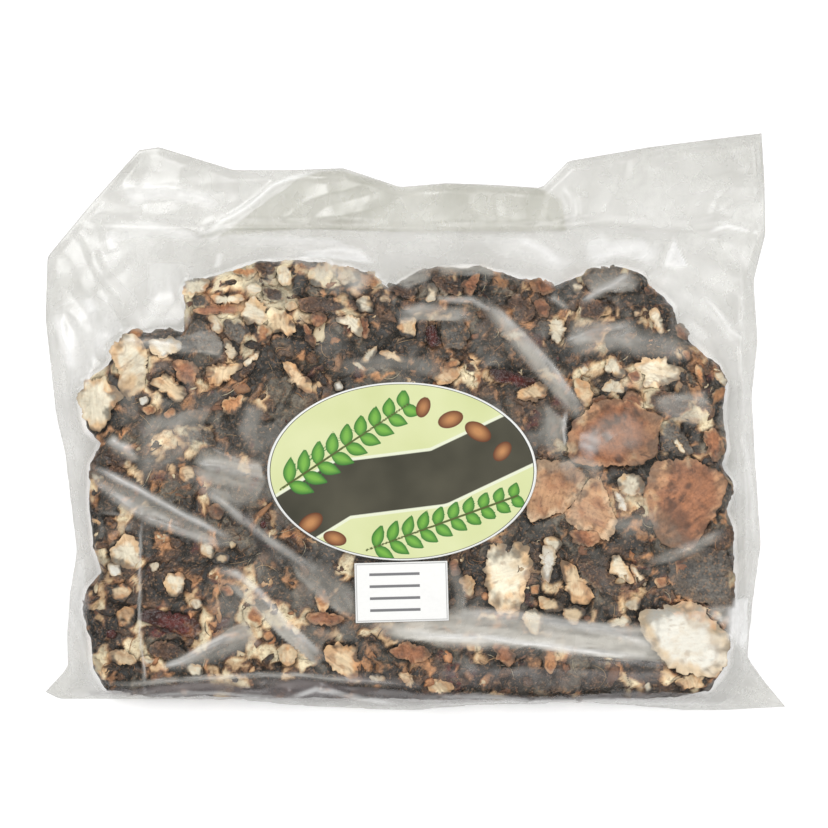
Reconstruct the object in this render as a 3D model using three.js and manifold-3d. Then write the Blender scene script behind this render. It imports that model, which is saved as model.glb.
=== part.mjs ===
// A sealed clear film bag of shelled tamarind, lying on its back with its label upwards.
// The bag is one film shell round a pressed bed of dark pulp, in which the larger pieces of
// fruit lie: pale seed-pocket membrane, brown rind and sticky red flesh. An oval label and a
// small plain sticker are stuck to the front. Millimetres, +X along the bag's long side, +Y
// towards its open mouth, +Z up, origin under the middle of the bag on the surface it lies on.
import * as THREE from "three";
import { mergeVertices } from "three/addons/utils/BufferGeometryUtils.js";
import Module from "manifold-3d";

const wasm = await Module();
wasm.setup();

// Film and clearances
const FILM = 0.5; // wall of the bag, far thicker than real film so that it stands as a solid
const GAP = 0.35; // clearance between pieces that touch
const SLIVER = 0.1; // cuts leave no triangle thinner than this
const LOW_GAP = 0.7; // inside height where the two webs of film lie on each other
const EDGE = 1.6; // width of the folded and welded rim
const SEAL_Y = 65.5; // heat seal across the bag, with the open mouth above it
const SEAL_WIDTH = 3.2;
const BAG_LENGTH = 260; // rounded up, for cuts that run right across
const FLAP_Y = 70; // the mouth's edge lies beyond this
const MOUTH_LIFT = 3.4; // how far the upper web stands off the lower one at the mouth
const VENT_X = 96; // short stretch where the heat seal did not take
const VENT_WIDTH = 5;
const CEILING = 40; // any height over the whole bag

// Outline of the bag as it lies, anticlockwise from the lower left ear
const BAG_OUTLINE = [
  [-123, -88], [-118.5, -91.8], [-66, -91.8], [-38, -94.4], [0, -96], [36, -93.6],
  [72, -93.6], [95, -96], [123.3, -95], [110.5, -77.6], [115, -41], [112.4, 6],
  [114, 28], [112.6, 47.5], [116.8, 63.8], [115.6, 96], [78, 91.5], [51.5, 87.4],
  [42, 79.2], [-5, 78.9], [-24, 84.8], [-60.5, 84.6], [-85.5, 92.2], [-92, 91],
  [-122.3, 55.8], [-123.3, 36], [-119, 2], [-112.6, -43], [-115.8, -60], [-115.6, -80],
];

// Outline of the bed of fruit, anticlockwise from its lower left corner
const FILL_OUTLINE = [
  [-102, -87], [-88, -88.5], [-50, -88.5], [0, -88.5], [50, -89.5], [86, -89], [97, -87.5],
  [102.5, -80], [105, -68], [106, -50], [103.5, -28], [105, -20], [102, -13], [103, 2],
  [103, 13], [97, 22], [87, 32], [86, 39], [78, 45], [67.5, 52], [54, 49], [45, 45], [34, 49],
  [20, 52], [5, 52], [-9, 46], [-22, 52], [-35, 54], [-54, 53.5], [-70, 48], [-77, 45],
  [-75, 34], [-83, 30], [-96, 29], [-101, 20], [-109, 14], [-110.5, 6], [-106, -5],
  [-108, -29], [-105.5, -47], [-110, -60], [-107, -81],
];
const FILL_FLOOR = 10; // height of the plain slab that the lumps grow from
const FILL_BEVEL = 4;
const FILL_SPREAD = 1.5; // how far a lump may reach past the outline
const FILL_TOP = 14.2; // height of the bed at mid bag
const FILL_FALL = 0.034; // how much lower it gets for each millimetre towards the mouth

// Lumps of pulp: a ring of them along the rim, and a jittered honeycomb within
const LUMP_PITCH = 24;
const LUMP_JITTER = 4;
const LUMP_RISE = 4.5; // half the height of a lump
const LUMP_UNEVEN = 1.8; // how much their tops differ
const LUMP_ROUGHNESS = 0.5;
const LEVEL_REACH = 1.15; // within this share of the label's oval the lumps stay level
const RIM_PITCH = 18;
const RIM_INSET = 8;
const RIM_TOP = 0.79; // height of a rim lump as a share of the bed's
const PROP_RISE = 5; // half the height of a lump that a flake rests on
const LUMP_SEED = 20;

// Label and sticker, as [centre x, centre y]
const LABEL_AT = [-4.3, -15.3];
const LABEL_SIZE = [88.5, 58.5];
const STICKER_AT = [-4.4, -54.8];
const STICKER_SIZE = [30.5, 19.5];
const STICKER_TURN = THREE.MathUtils.degToRad(1.5);
const PAPER = 0.45;
const OVAL_SIDES = 44;

// The larger pieces of fruit: kind, centre, width, length, turn in degrees and sag of the rim
const FLAKES = [
  ["rind_flake", 66, -3.5, 30, 21, 0, -1.6],
  ["rind_flake", 89.5, -26, 26, 28.5, 6, 1.1],
  ["rind_flake", 45, -21.5, 21, 18.5, 12, 1.4],
  ["rind_flake", 59, -23.5, 10, 19, 14, 0.9],
  ["rind_flake", 70.5, 9, 9, 7, 10, 0.6],
  ["rind_flake", 55.5, -37, 10, 7, 0, 0.6],
  ["rind_flake", -32, 35, 7, 6, 0, 0.6],
  ["rind_flake", 59.5, 38, 11, 6, 8, 0.8],
  ["membrane_flake", -93.5, 18.5, 14, 21, 8, 2.4],
  ["membrane_flake", -103, 6, 12, 15, -30, 1.8],
  ["membrane_flake", -71, 44, 8.5, 5.5, 12, 0.7],
  ["membrane_flake", -61.5, 40, 12, 5, 8, 0.6],
  ["membrane_flake", -55, 32.5, 12, 7, 0, 1],
  ["membrane_flake", -43.5, 34, 9, 10.5, -10, 1],
  ["membrane_flake", -43.5, 47.5, 7, 7, 0, 0.7],
  ["membrane_flake", -32, 46.5, 8, 8, 0, 0.8],
  ["membrane_flake", -21, 32, 9.5, 7.5, 0, 0.9],
  ["membrane_flake", -17, 42, 8, 6, 0, 0.6],
  ["membrane_flake", -64.5, 18, 12.5, 8, 8, 1],
  ["membrane_flake", -39, 15.5, 12, 6, -40, 0.9],
  ["membrane_flake", -80, 14, 7, 8, 10, 0.8],
  ["membrane_flake", -94.5, -41.5, 10, 9.5, 0, 1.1],
  ["membrane_flake", -78.5, -51, 7, 7.5, 0, 0.8],
  ["membrane_flake", -94.5, -61, 7, 7.5, 0, 0.8],
  ["membrane_flake", -96, -76, 9, 6, 0, 0.6],
  ["membrane_flake", -24, -75.5, 11.5, 11.5, 0, 1],
  ["membrane_flake", 47.5, 32, 6, 9, 10, 0.7],
  ["membrane_flake", 64, 22, 6.5, 8, 10, 0.8],
  ["membrane_flake", 56.5, 13, 6, 6.5, 0, 0.6],
  ["membrane_flake", 82, 18.5, 15, 9, 12, 1.3],
  ["membrane_flake", 41.5, 13, 7.5, 6, 10, 0.6],
  ["membrane_flake", 72, -19, 8, 8, 0, 0.9],
  ["membrane_flake", 29.5, -51, 12, 23, 4, 1.9],
  ["membrane_flake", 53.5, -55, 9.5, 12, 20, 1.3],
  ["membrane_flake", 38.5, -66.5, 7, 5.5, 0, 0.6],
  ["membrane_flake", 88, -69, 27, 22, -24, -1.8],
  ["membrane_flake", 76, 33.5, 6, 7.5, 15, 0.6],
  ["membrane_flake", 69, -47, 6, 7, 20, 0.5],
  ["flesh_strip", -79, -65, 18, 9, -12, 2],
  ["flesh_strip", 30.5, 17, 15, 5.5, -10, 1],
  ["flesh_strip", 5.5, 28.5, 6, 7, 10, 0.8],
];
const FLAKE_SEED = 11;
const FLAKE_SIDES = [9, 15]; // of a small flake and of a large one
const LARGE_FLAKE = 150; // width times length
const FLAKE_RINGS = [0.6, 1];
const FLAKE_THICKNESS = 1.5;
const FLAKE_RAGGED = 0.26;
const FLAKE_PROUD = 0.8; // how far a flake's crown stands over the bed round it
const FLAKE_TAPER = 0.35; // how much thinner a flake is at its rim

const COLOURS = {
  bag_film: 0xd9dad6,
  pulp_bed: 0x3a2d26,
  rind_flake: 0x94603f,
  membrane_flake: 0xdccba4,
  flesh_strip: 0x4f150f,
  oval_label: 0xb9d98a,
  plain_sticker: 0xf4f4f2,
};

// A repeatable stream of numbers from 0 to 1.
function stream(seed) {
  let state = seed;
  return () => {
    state = (state + 0x6d2b79f5) | 0;
    let mixed = Math.imul(state ^ (state >>> 15), 1 | state);
    mixed = (mixed + Math.imul(mixed ^ (mixed >>> 7), 61 | mixed)) ^ mixed;
    return ((mixed ^ (mixed >>> 14)) >>> 0) / 2 ** 32;
  };
}

// A closed geometry's surface with each corner held once.
function welded(geometry) {
  const bare = geometry.clone();
  bare.deleteAttribute("normal");
  bare.deleteAttribute("uv");
  return mergeVertices(bare, 1e-4);
}

function solidOf(geometry) {
  const joined = welded(geometry);
  return new wasm.Manifold(
    new wasm.Mesh({
      numProp: 3,
      vertProperties: new Float32Array(joined.getAttribute("position").array),
      triVerts: new Uint32Array(joined.index.array),
    }),
  );
}

function geometryOf(solid) {
  const { vertProperties, triVerts } = solid.getMesh();
  const geometry = new THREE.BufferGeometry();
  geometry.setAttribute("position", new THREE.BufferAttribute(vertProperties, 3));
  geometry.setIndex(new THREE.BufferAttribute(triVerts, 1));
  geometry.computeVertexNormals();
  return geometry;
}

function meshOf(name, solid, colour, extra = {}) {
  const finish = { color: colour, roughness: 0.7, metalness: 0, flatShading: true, ...extra };
  const mesh = new THREE.Mesh(geometryOf(solid), new THREE.MeshStandardMaterial(finish));
  mesh.name = name;
  return mesh;
}

const largest = (solid) => solid.decompose().sort((a, b) => b.volume() - a.volume())[0];

// An upright prism of an outline between two heights.
function prism(outline, low, high, bevel = 0) {
  const shape = new THREE.Shape(outline.map(([x, y]) => new THREE.Vector2(x, y)));
  const geometry = new THREE.ExtrudeGeometry(shape, {
    depth: high - low - 2 * bevel,
    bevelEnabled: bevel > 0,
    bevelSize: bevel,
    bevelThickness: bevel,
    bevelSegments: 2,
  });
  return solidOf(geometry.translate(0, 0, low + bevel));
}

// The outline moved inwards by a distance, each corner along the bisector of its two sides.
function inset(outline, distance) {
  return outline.map(([x, y], i) => {
    const [ax, ay] = outline.at(i - 1);
    const [bx, by] = outline[(i + 1) % outline.length];
    const before = new THREE.Vector2(x - ax, y - ay).normalize();
    const after = new THREE.Vector2(bx - x, by - y).normalize();
    const bisector = new THREE.Vector2(-before.y - after.y, before.x + after.x).normalize();
    const reach = distance / Math.max(0.5, bisector.dot(new THREE.Vector2(-before.y, before.x)));
    return [x + bisector.x * reach, y + bisector.y * reach];
  });
}

function inside(outline, x, y) {
  let odd = false;
  outline.forEach(([ax, ay], i) => {
    const [bx, by] = outline.at(i - 1);
    if (ay > y !== by > y && x < ((bx - ax) * (y - ay)) / (by - ay) + ax) odd = !odd;
  });
  return odd;
}

const fillTop = (y) => FILL_TOP - FILL_FALL * y;

// How far a point lies inside the label's oval: under 1 within it.
const labelReach = (x, y) =>
  Math.hypot((x - LABEL_AT[0]) / (LABEL_SIZE[0] / 2), (y - LABEL_AT[1]) / (LABEL_SIZE[1] / 2));

// One lump of pulp: a twenty-sided pebble with its corners moved at random.
function lump(x, y, top, radius, rise, random) {
  const pebble = welded(new THREE.IcosahedronGeometry(1));
  const corners = pebble.getAttribute("position");
  for (let i = 0; i < corners.count; i++) {
    const stretch = 1 + LUMP_ROUGHNESS * (random() - 0.5);
    corners.setXYZ(
      i,
      corners.getX(i) * stretch,
      corners.getY(i) * stretch,
      corners.getZ(i) * Math.min(1, stretch),
    );
  }
  const slim = 0.75 + 0.25 * random();
  pebble.scale(radius, radius * slim, rise);
  pebble.rotateX(0.35 * (random() - 0.5)).rotateZ(Math.PI * random());
  return solidOf(pebble.translate(x, y, top - rise));
}

// Lumps round the rim of the bed, low and set side by side.
function rimLumps(random) {
  const line = inset(FILL_OUTLINE, RIM_INSET);
  const curve = new THREE.CurvePath();
  line.forEach(([x, y], i) => {
    const [nextX, nextY] = line[(i + 1) % line.length];
    curve.add(new THREE.LineCurve(new THREE.Vector2(x, y), new THREE.Vector2(nextX, nextY)));
  });
  return curve.getSpacedPoints(Math.round(curve.getLength() / RIM_PITCH)).slice(1).map(({ x, y }) => {
    const top = fillTop(y) * (RIM_TOP + 0.14 * (random() - 0.5));
    return lump(x, y, top, RIM_PITCH * (0.52 + 0.12 * random()), top / 2, random);
  });
}

// Lumps on a jittered honeycomb over the rest of the bed, level under the label.
function coreLumps(random) {
  const made = [];
  const core = inset(FILL_OUTLINE, RIM_INSET + LUMP_PITCH * 0.4);
  const [left, right, front, back] = [-112, 112, -82, 54];
  const rowStep = LUMP_PITCH * Math.sin(Math.PI / 3);
  for (let row = 0, y = front; y < back; row++, y += rowStep) {
    for (let x = left + (row % 2) * (LUMP_PITCH / 2); x < right; x += LUMP_PITCH) {
      const px = x + LUMP_JITTER * (random() - 0.5);
      const py = y + LUMP_JITTER * (random() - 0.5);
      const uneven = LUMP_UNEVEN * (random() - 0.5);
      const radius = LUMP_PITCH * (0.5 + 0.1 * random());
      if (!inside(core, px, py)) continue;
      const share = labelReach(px, py) < LEVEL_REACH ? 0.2 : 1;
      made.push(lump(px, py, fillTop(py) + uneven * share, radius, LUMP_RISE, random));
    }
  }
  return made;
}

// One flake: a ragged disc of rings, domed or dished by sag, with a thin rim. A pocket is the
// same disc grown by the clearance and open upwards, to be cut from what lies round the flake.
function flake([, x, y, width, length, turn, sag], index, { grow = 0, open = false } = {}) {
  const random = stream(FLAKE_SEED + 7 * index);
  const sides = FLAKE_SIDES[width * length > LARGE_FLAKE ? 1 : 0];
  const reach = [];
  for (let side = 0; side < sides; side++) {
    reach.push(1 - FLAKE_RAGGED * random());
  }
  const crown = fillTop(y) + FLAKE_PROUD;
  const angle = THREE.MathUtils.degToRad(turn);
  const points = [];
  const level = (share, under) => {
    const bend = sag > 0 ? -sag * share ** 2 : -sag * (share ** 2 - 1);
    const wall = under ? FLAKE_THICKNESS * (1 - FLAKE_TAPER * share) + grow : 0;
    return crown + bend - wall;
  };
  const skin = (under) => {
    const first = points.length / 3;
    points.push(x, y, open && !under ? CEILING : level(0, under));
    for (const share of FLAKE_RINGS) {
      for (let side = 0; side < sides; side++) {
        const around = (2 * Math.PI * side) / sides;
        const u = (width / 2) * Math.cos(around) * reach[side];
        const v = (length / 2) * Math.sin(around) * reach[side];
        const out = 1 + (share * grow) / Math.hypot(u, v);
        const px = x + share * out * (u * Math.cos(angle) - v * Math.sin(angle));
        const py = y + share * out * (u * Math.sin(angle) + v * Math.cos(angle));
        points.push(px, py, open && !under ? CEILING : level(share, under));
      }
    }
    return first;
  };
  const top = skin(false);
  const bottom = skin(true);
  const faces = [];
  const last = FLAKE_RINGS.length - 1;
  const at = (first, ring, side) => first + 1 + ring * sides + (side % sides);
  for (let side = 0; side < sides; side++) {
    faces.push(top, at(top, 0, side), at(top, 0, side + 1));
    faces.push(bottom, at(bottom, 0, side + 1), at(bottom, 0, side));
    for (let ring = 0; ring < last; ring++) {
      const [a, b] = [at(top, ring, side), at(top, ring, side + 1)];
      const [c, d] = [at(top, ring + 1, side), at(top, ring + 1, side + 1)];
      faces.push(a, c, d, a, d, b);
      const [e, f] = [at(bottom, ring, side), at(bottom, ring, side + 1)];
      const [g, h] = [at(bottom, ring + 1, side), at(bottom, ring + 1, side + 1)];
      faces.push(e, h, g, e, f, h);
    }
    const [a, b] = [at(top, last, side), at(top, last, side + 1)];
    const [c, d] = [at(bottom, last, side), at(bottom, last, side + 1)];
    faces.push(a, c, d, a, d, b);
  }
  const geometry = new THREE.BufferGeometry();
  geometry.setAttribute("position", new THREE.Float32BufferAttribute(points, 3));
  geometry.setIndex(faces);
  return solidOf(geometry);
}

// The bed of pulp with a pocket for each flake, and a lump under each for it to rest on.
function pulpBed() {
  const random = stream(LUMP_SEED);
  const slab = prism(inset(FILL_OUTLINE, FILL_BEVEL), FILM + GAP, FILL_FLOOR, FILL_BEVEL);
  const props = FLAKES.map(([, x, y, width, length]) =>
    lump(x, y, fillTop(y), Math.min(width, length) * 0.45, PROP_RISE, random),
  );
  const heap = wasm.Manifold.union([slab, ...rimLumps(random), ...coreLumps(random), ...props]);
  const pockets = FLAKES.map((row, i) => flake(row, i, { grow: GAP, open: true }));
  const room = prism(inset(FILL_OUTLINE, -FILL_SPREAD), FILM + GAP, CEILING);
  const cut = heap.subtract(wasm.Manifold.union(pockets)).intersect(room).simplify(SLIVER);
  return largest(cut);
}

// Each flake, cut clear of the pockets of the ones laid before it.
function flakes() {
  const pockets = [];
  return FLAKES.map((row, i) => {
    const whole = flake(row, i);
    const cut = pockets.length ? whole.subtract(wasm.Manifold.union(pockets)) : whole;
    pockets.push(flake(row, i, { grow: GAP, open: true }));
    return largest(cut);
  });
}

// Lines of the grid that the film follows, from low to high and closer at both ends.
function gridLines(low, high, fine, coarse, stretch) {
  const lines = [];
  for (let at = low; at < low + stretch; at += fine) lines.push(at);
  const start = lines.at(-1) + fine;
  const count = Math.round((high - stretch - start) / coarse);
  const step = (high - stretch - start) / count;
  for (let i = 0; i < count; i++) lines.push(start + i * step);
  for (let at = high - stretch; at <= high + 1e-6; at += fine) lines.push(at);
  return lines;
}

const GRID_X = gridLines(-125, 125, 4.5, 9.5, 18);
const GRID_Y = [
  ...gridLines(-97, 66, 3.6, 9.5, 14).filter((y) => y < 56), 57, 61.5, 66, 72, 79, 88, 98,
];
const PRESS_STEP = 1.5; // the contents are felt at points this close together
const LETTING_DOWN = 300; // rounds in which the sheet is let down
const FLAP_LENGTH = 28;

// Height of the inside of the upper web over each grid corner: a taut sheet that is let down
// on what lies under it, pinned at the seal and along the bag's edge.
function drape(contents) {
  const columns = GRID_X.length;
  const low = FILM + LOW_GAP;
  const floor = GRID_Y.map(() => new Float64Array(columns).fill(low));
  const cellOf = (lines, value) => Math.max(0, lines.findIndex((line) => line > value) - 1);
  const press = (x, y, z) => {
    const i = cellOf(GRID_X, x);
    const j = cellOf(GRID_Y, y);
    for (const [row, column] of [[j, i], [j, i + 1], [j + 1, i], [j + 1, i + 1]]) {
      floor[row][column] = Math.max(floor[row][column], z + GAP);
    }
  };
  for (const solid of contents) {
    const { vertProperties: at, triVerts } = solid.getMesh();
    for (let t = 0; t < triVerts.length; t += 3) {
      const [a, b, c] = [0, 1, 2].map((k) =>
        new THREE.Vector3().fromArray(at, 3 * triVerts[t + k]),
      );
      const steps = Math.ceil(Math.max(a.distanceTo(b), b.distanceTo(c), c.distanceTo(a)) / PRESS_STEP);
      for (let i = 0; i <= steps; i++) {
        for (let j = 0; j <= steps - i; j++) {
          const point = new THREE.Vector3()
            .addScaledVector(a, i / steps)
            .addScaledVector(b, j / steps)
            .addScaledVector(c, 1 - (i + j) / steps);
          press(point.x, point.y, point.z);
        }
      }
    }
  }
  const pinned = (x, y) => !inside(BAG_OUTLINE, x, y) || y > SEAL_Y - SEAL_WIDTH;
  const height = floor.map((row) => Float64Array.from(row));
  for (let pass = 0; pass < LETTING_DOWN; pass++) {
    for (let j = 1; j < GRID_Y.length - 1; j++) {
      for (let i = 1; i < columns - 1; i++) {
        if (pinned(GRID_X[i], GRID_Y[j])) continue;
        const around = height[j][i - 1] + height[j][i + 1] + height[j - 1][i] + height[j + 1][i];
        height[j][i] = Math.max(floor[j][i], around / 4);
      }
    }
  }
  GRID_Y.forEach((y, j) => {
    const share = Math.min(1, Math.max(0, (y - SEAL_Y - SEAL_WIDTH) / FLAP_LENGTH));
    GRID_X.forEach((x, i) => {
      height[j][i] += MOUTH_LIFT * share * (0.6 + 0.4 * Math.sin(x / 17));
    });
  });
  return height;
}

const STEEPEST = 2.2; // a thickness grows no more than this on a slope

// The drape raised by a thickness that is measured square to its slope.
function raised(height, thickness) {
  return height.map((row, j) =>
    row.map((z, i) => {
      const [west, east] = [Math.max(0, i - 1), Math.min(row.length - 1, i + 1)];
      const [south, north] = [Math.max(0, j - 1), Math.min(height.length - 1, j + 1)];
      const alongX = (row[east] - row[west]) / (GRID_X[east] - GRID_X[west]);
      const alongY = (height[north][i] - height[south][i]) / (GRID_Y[north] - GRID_Y[south]);
      return z + thickness * Math.min(STEEPEST, Math.hypot(1, alongX, alongY));
    }),
  );
}

// Everything under a sheet of grid heights, down to a level floor.
function under(height, floor) {
  const points = [];
  const faces = [];
  const columns = GRID_X.length;
  const rows = GRID_Y.length;
  const at = (i, j) => j * columns + i;
  GRID_Y.forEach((y, j) => GRID_X.forEach((x, i) => points.push(x, y, height[j][i])));
  for (let j = 0; j < rows - 1; j++) {
    for (let i = 0; i < columns - 1; i++) {
      const [a, b, c, d] = [at(i, j), at(i + 1, j), at(i + 1, j + 1), at(i, j + 1)];
      if ((i + j) % 2) faces.push(a, b, c, a, c, d);
      else faces.push(a, b, d, b, c, d);
    }
  }
  const rim = [];
  for (let i = 0; i < columns - 1; i++) rim.push(at(i, 0));
  for (let j = 0; j < rows - 1; j++) rim.push(at(columns - 1, j));
  for (let i = columns - 1; i > 0; i--) rim.push(at(i, rows - 1));
  for (let j = rows - 1; j > 0; j--) rim.push(at(0, j));
  const foot = points.length / 3;
  rim.forEach((corner) => points.push(points[3 * corner], points[3 * corner + 1], floor));
  const hub = points.length / 3;
  points.push(0, 0, floor);
  rim.forEach((corner, k) => {
    const next = (k + 1) % rim.length;
    faces.push(corner, foot + k, foot + next, corner, foot + next, rim[next]);
    faces.push(foot + k, hub, foot + next);
  });
  const geometry = new THREE.BufferGeometry();
  geometry.setAttribute("position", new THREE.Float32BufferAttribute(points, 3));
  geometry.setIndex(faces);
  return solidOf(geometry);
}

// The film shell: the outer sheet cut to the bag's outline, less the room for the fruit, the
// open mouth above the seal and the short vent that joins the two.
function bagFilm(inner, outer) {
  const upright = (outline) => prism(outline, -1, CEILING);
  const across = (low, high, y0, y1) => upright([[low, y0], [high, y0], [high, y1], [low, y1]]);
  const half = BAG_LENGTH / 2;
  const within = inset(BAG_OUTLINE, EDGE);
  const past = within.map(([x, y]) => [x, y > FLAP_Y ? y + FLAP_LENGTH / 3 : y]);
  const room = under(inner, FILM).intersect(upright(within));
  const below = room.intersect(across(-half, half, -half, SEAL_Y));
  const above = under(inner, FILM)
    .intersect(upright(past))
    .intersect(across(-half, half, SEAL_Y + SEAL_WIDTH, half));
  const [low, high] = [VENT_X - VENT_WIDTH / 2, VENT_X + VENT_WIDTH / 2];
  const vent = room.intersect(across(low, high, SEAL_Y - 1, SEAL_Y + SEAL_WIDTH + 1));
  const body = under(outer, 0).intersect(upright(BAG_OUTLINE));
  return body.subtract(wasm.Manifold.union([below, above, vent]));
}

// A patch of paper that follows the film, a clearance above it.
function patch(outer, outline) {
  const underside = raised(outer, GAP);
  const upper = raised(outer, GAP + PAPER);
  const slab = under(upper, 0).subtract(under(underside, -1));
  return slab.intersect(prism(outline, -1, CEILING));
}

function oval([cx, cy], [width, height]) {
  return Array.from({ length: OVAL_SIDES }, (_, k) => {
    const around = (2 * Math.PI * k) / OVAL_SIDES;
    return [cx + (width / 2) * Math.cos(around), cy + (height / 2) * Math.sin(around)];
  });
}

function turnedBox([cx, cy], [width, height], turn) {
  const corners = [[-1, -1], [1, -1], [1, 1], [-1, 1]];
  return corners.map(([sx, sy]) => {
    const [u, v] = [(sx * width) / 2, (sy * height) / 2];
    return [
      cx + u * Math.cos(turn) - v * Math.sin(turn),
      cy + u * Math.sin(turn) + v * Math.cos(turn),
    ];
  });
}

const bag = new THREE.Group();
const bed = pulpBed();
const pieces = flakes();
const inner = drape([bed, ...pieces]);
const outer = raised(inner, FILM);

const CLEAR = { transparent: true, opacity: 0.3, roughness: 0.15 };
bag.add(meshOf("bag_film", bagFilm(inner, outer), COLOURS.bag_film, CLEAR));
bag.add(meshOf("pulp_bed", bed, COLOURS.pulp_bed));
const count = {};
pieces.forEach((piece, i) => {
  const kind = FLAKES[i][0];
  count[kind] = (count[kind] ?? 0) + 1;
  bag.add(meshOf(`${kind}_${String(count[kind]).padStart(2, "0")}`, piece, COLOURS[kind]));
});
const labelOutline = oval(LABEL_AT, LABEL_SIZE);
bag.add(meshOf("oval_label", patch(outer, labelOutline), COLOURS.oval_label, { roughness: 0.4 }));
const stickerOutline = turnedBox(STICKER_AT, STICKER_SIZE, STICKER_TURN);
bag.add(meshOf("plain_sticker", patch(outer, stickerOutline), COLOURS.plain_sticker));

export default bag;
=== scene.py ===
# The looks of a sealed clear film bag of shelled tamarind, made around its solids.
# Shapes are worked out in millimetres and put into the meshes in metres: +X along the bag's long
# side, +Y towards its open mouth, +Z up out of the labelled front.
import functools

import bpy
import numpy as np
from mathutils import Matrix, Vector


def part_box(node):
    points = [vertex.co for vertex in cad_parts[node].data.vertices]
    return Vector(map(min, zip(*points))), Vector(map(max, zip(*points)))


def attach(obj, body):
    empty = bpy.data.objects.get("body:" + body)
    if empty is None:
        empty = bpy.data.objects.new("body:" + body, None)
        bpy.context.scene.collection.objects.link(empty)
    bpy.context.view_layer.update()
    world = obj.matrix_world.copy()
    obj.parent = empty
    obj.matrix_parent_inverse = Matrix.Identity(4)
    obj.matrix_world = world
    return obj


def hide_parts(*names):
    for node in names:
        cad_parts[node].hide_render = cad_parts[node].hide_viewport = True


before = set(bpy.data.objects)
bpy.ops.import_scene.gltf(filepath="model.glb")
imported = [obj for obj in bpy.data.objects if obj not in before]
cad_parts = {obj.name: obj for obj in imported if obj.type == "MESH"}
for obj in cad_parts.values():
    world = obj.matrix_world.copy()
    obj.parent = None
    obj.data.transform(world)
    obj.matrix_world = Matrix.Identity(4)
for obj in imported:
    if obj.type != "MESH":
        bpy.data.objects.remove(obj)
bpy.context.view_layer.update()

MM = 0.001
BODY = "root"

# The photograph looks straight down on the bag
PIXELS_PER_MM = 3.0
ORIGIN_PIXEL = (415.0, 424.5)
PHOTO_SIZE = 828
LENS = 100.0
SENSOR = 36.0
VIEW_HEIGHT = 4.0  # the level in the bag that the photograph's scale holds for

# Outline of the film, in the photograph's pixels, as four edges that meet at the corners
FILM_FRONT = [44, 693, 58, 700, 155, 700, 233, 699, 295, 706, 375, 710, 415, 711, 455, 707,
    509, 704, 591, 703, 632, 706, 687, 711, 728, 711, 787, 708]
FILM_RIGHT = [787, 708, 767, 684, 748, 658, 754, 600, 762, 545, 759, 500, 756, 455, 753, 395,
    759, 341, 755, 280, 767, 233, 766, 180, 763, 132]
FILM_BACK = [138, 149, 158, 146, 233, 169, 290, 169, 343, 167, 400, 186, 446, 182, 500, 184,
    542, 187, 569, 160, 650, 146, 763, 132]
FILM_LEFT = [44, 693, 67, 668, 66, 636, 69, 593, 76, 551, 73, 529, 64, 454, 55, 415, 44, 318,
    46, 256, 88, 205, 138, 149]

# Outline of the fruit in the bag, likewise
FRUIT_FRONT = [107, 690, 150, 695, 265, 697, 427, 699, 509, 699, 591, 699, 673, 697, 707, 690]
FRUIT_RIGHT = [707, 690, 723, 667, 729, 640, 732, 605, 733, 569, 732, 526, 725, 509, 732, 485,
    721, 465, 727, 449, 723, 419, 725, 384, 718, 366]
FRUIT_BACK = [87, 386, 92, 376, 103, 370, 112, 362, 115, 349, 126, 336, 134, 329, 146, 333,
    166, 329, 185, 332, 193, 322, 190, 312, 184, 300, 186, 288, 204, 280, 230, 271, 254, 263,
    271, 261, 319, 261, 348, 267, 375, 277, 388, 290, 396, 285, 416, 272, 441, 268, 476, 267,
    504, 273, 520, 279, 539, 279, 553, 288, 566, 281, 591, 269, 618, 267, 640, 273, 648, 288,
    662, 295, 673, 307, 674, 324, 687, 337, 706, 357, 718, 366]
FRUIT_LEFT = [107, 690, 94, 668, 91, 636, 83, 609, 86, 588, 102, 571, 94, 545, 90, 512, 90, 488,
    91, 464, 102, 443, 88, 432, 83, 404, 87, 386]

# Levels inside the bag, in millimetres
FLOOR = 0.9
FRUIT_TOP = 13.2
FRUIT_FALL = 0.034  # how much lower the bed is for each millimetre towards the mouth
SHOULDER = 9.0
RIM_SHARE = 0.3
CLEARANCE = 0.25
SEAL_Y = 66.0


def at_pixel(px, py):
    """Millimetres of a place that the photograph shows at a pixel."""
    return (px - ORIGIN_PIXEL[0]) / PIXELS_PER_MM, (ORIGIN_PIXEL[1] - py) / PIXELS_PER_MM


def trace(pixels):
    """A line given in pixels, x and y by turns, as an array of x and y in millimetres."""
    return np.stack(at_pixel(*np.reshape(pixels, (-1, 2)).T), -1)


def linear(red, green, blue):
    """The linear light of a colour given as on a screen, from 0 to 255."""
    share = np.array([red, green, blue]) / 255
    return np.where(share <= 0.04045, share / 12.92, ((share + 0.055) / 1.055) ** 2.4)


def ease(value, low, high):
    """0 at low and 1 at high, with the curve 3t² - 2t³ between, and level beyond both."""
    share = np.clip((value - low) / (high - low), 0, 1)
    return share * share * (3 - 2 * share)


# Noise over the plane

TABLE = 256


@functools.lru_cache(maxsize=64)
def lattice(seed, *kinds):
    """Seeded random numbers from 0 to 1 for each corner of a lattice, which repeats."""
    return np.random.default_rng(seed).random((TABLE, TABLE, *kinds))


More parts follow.
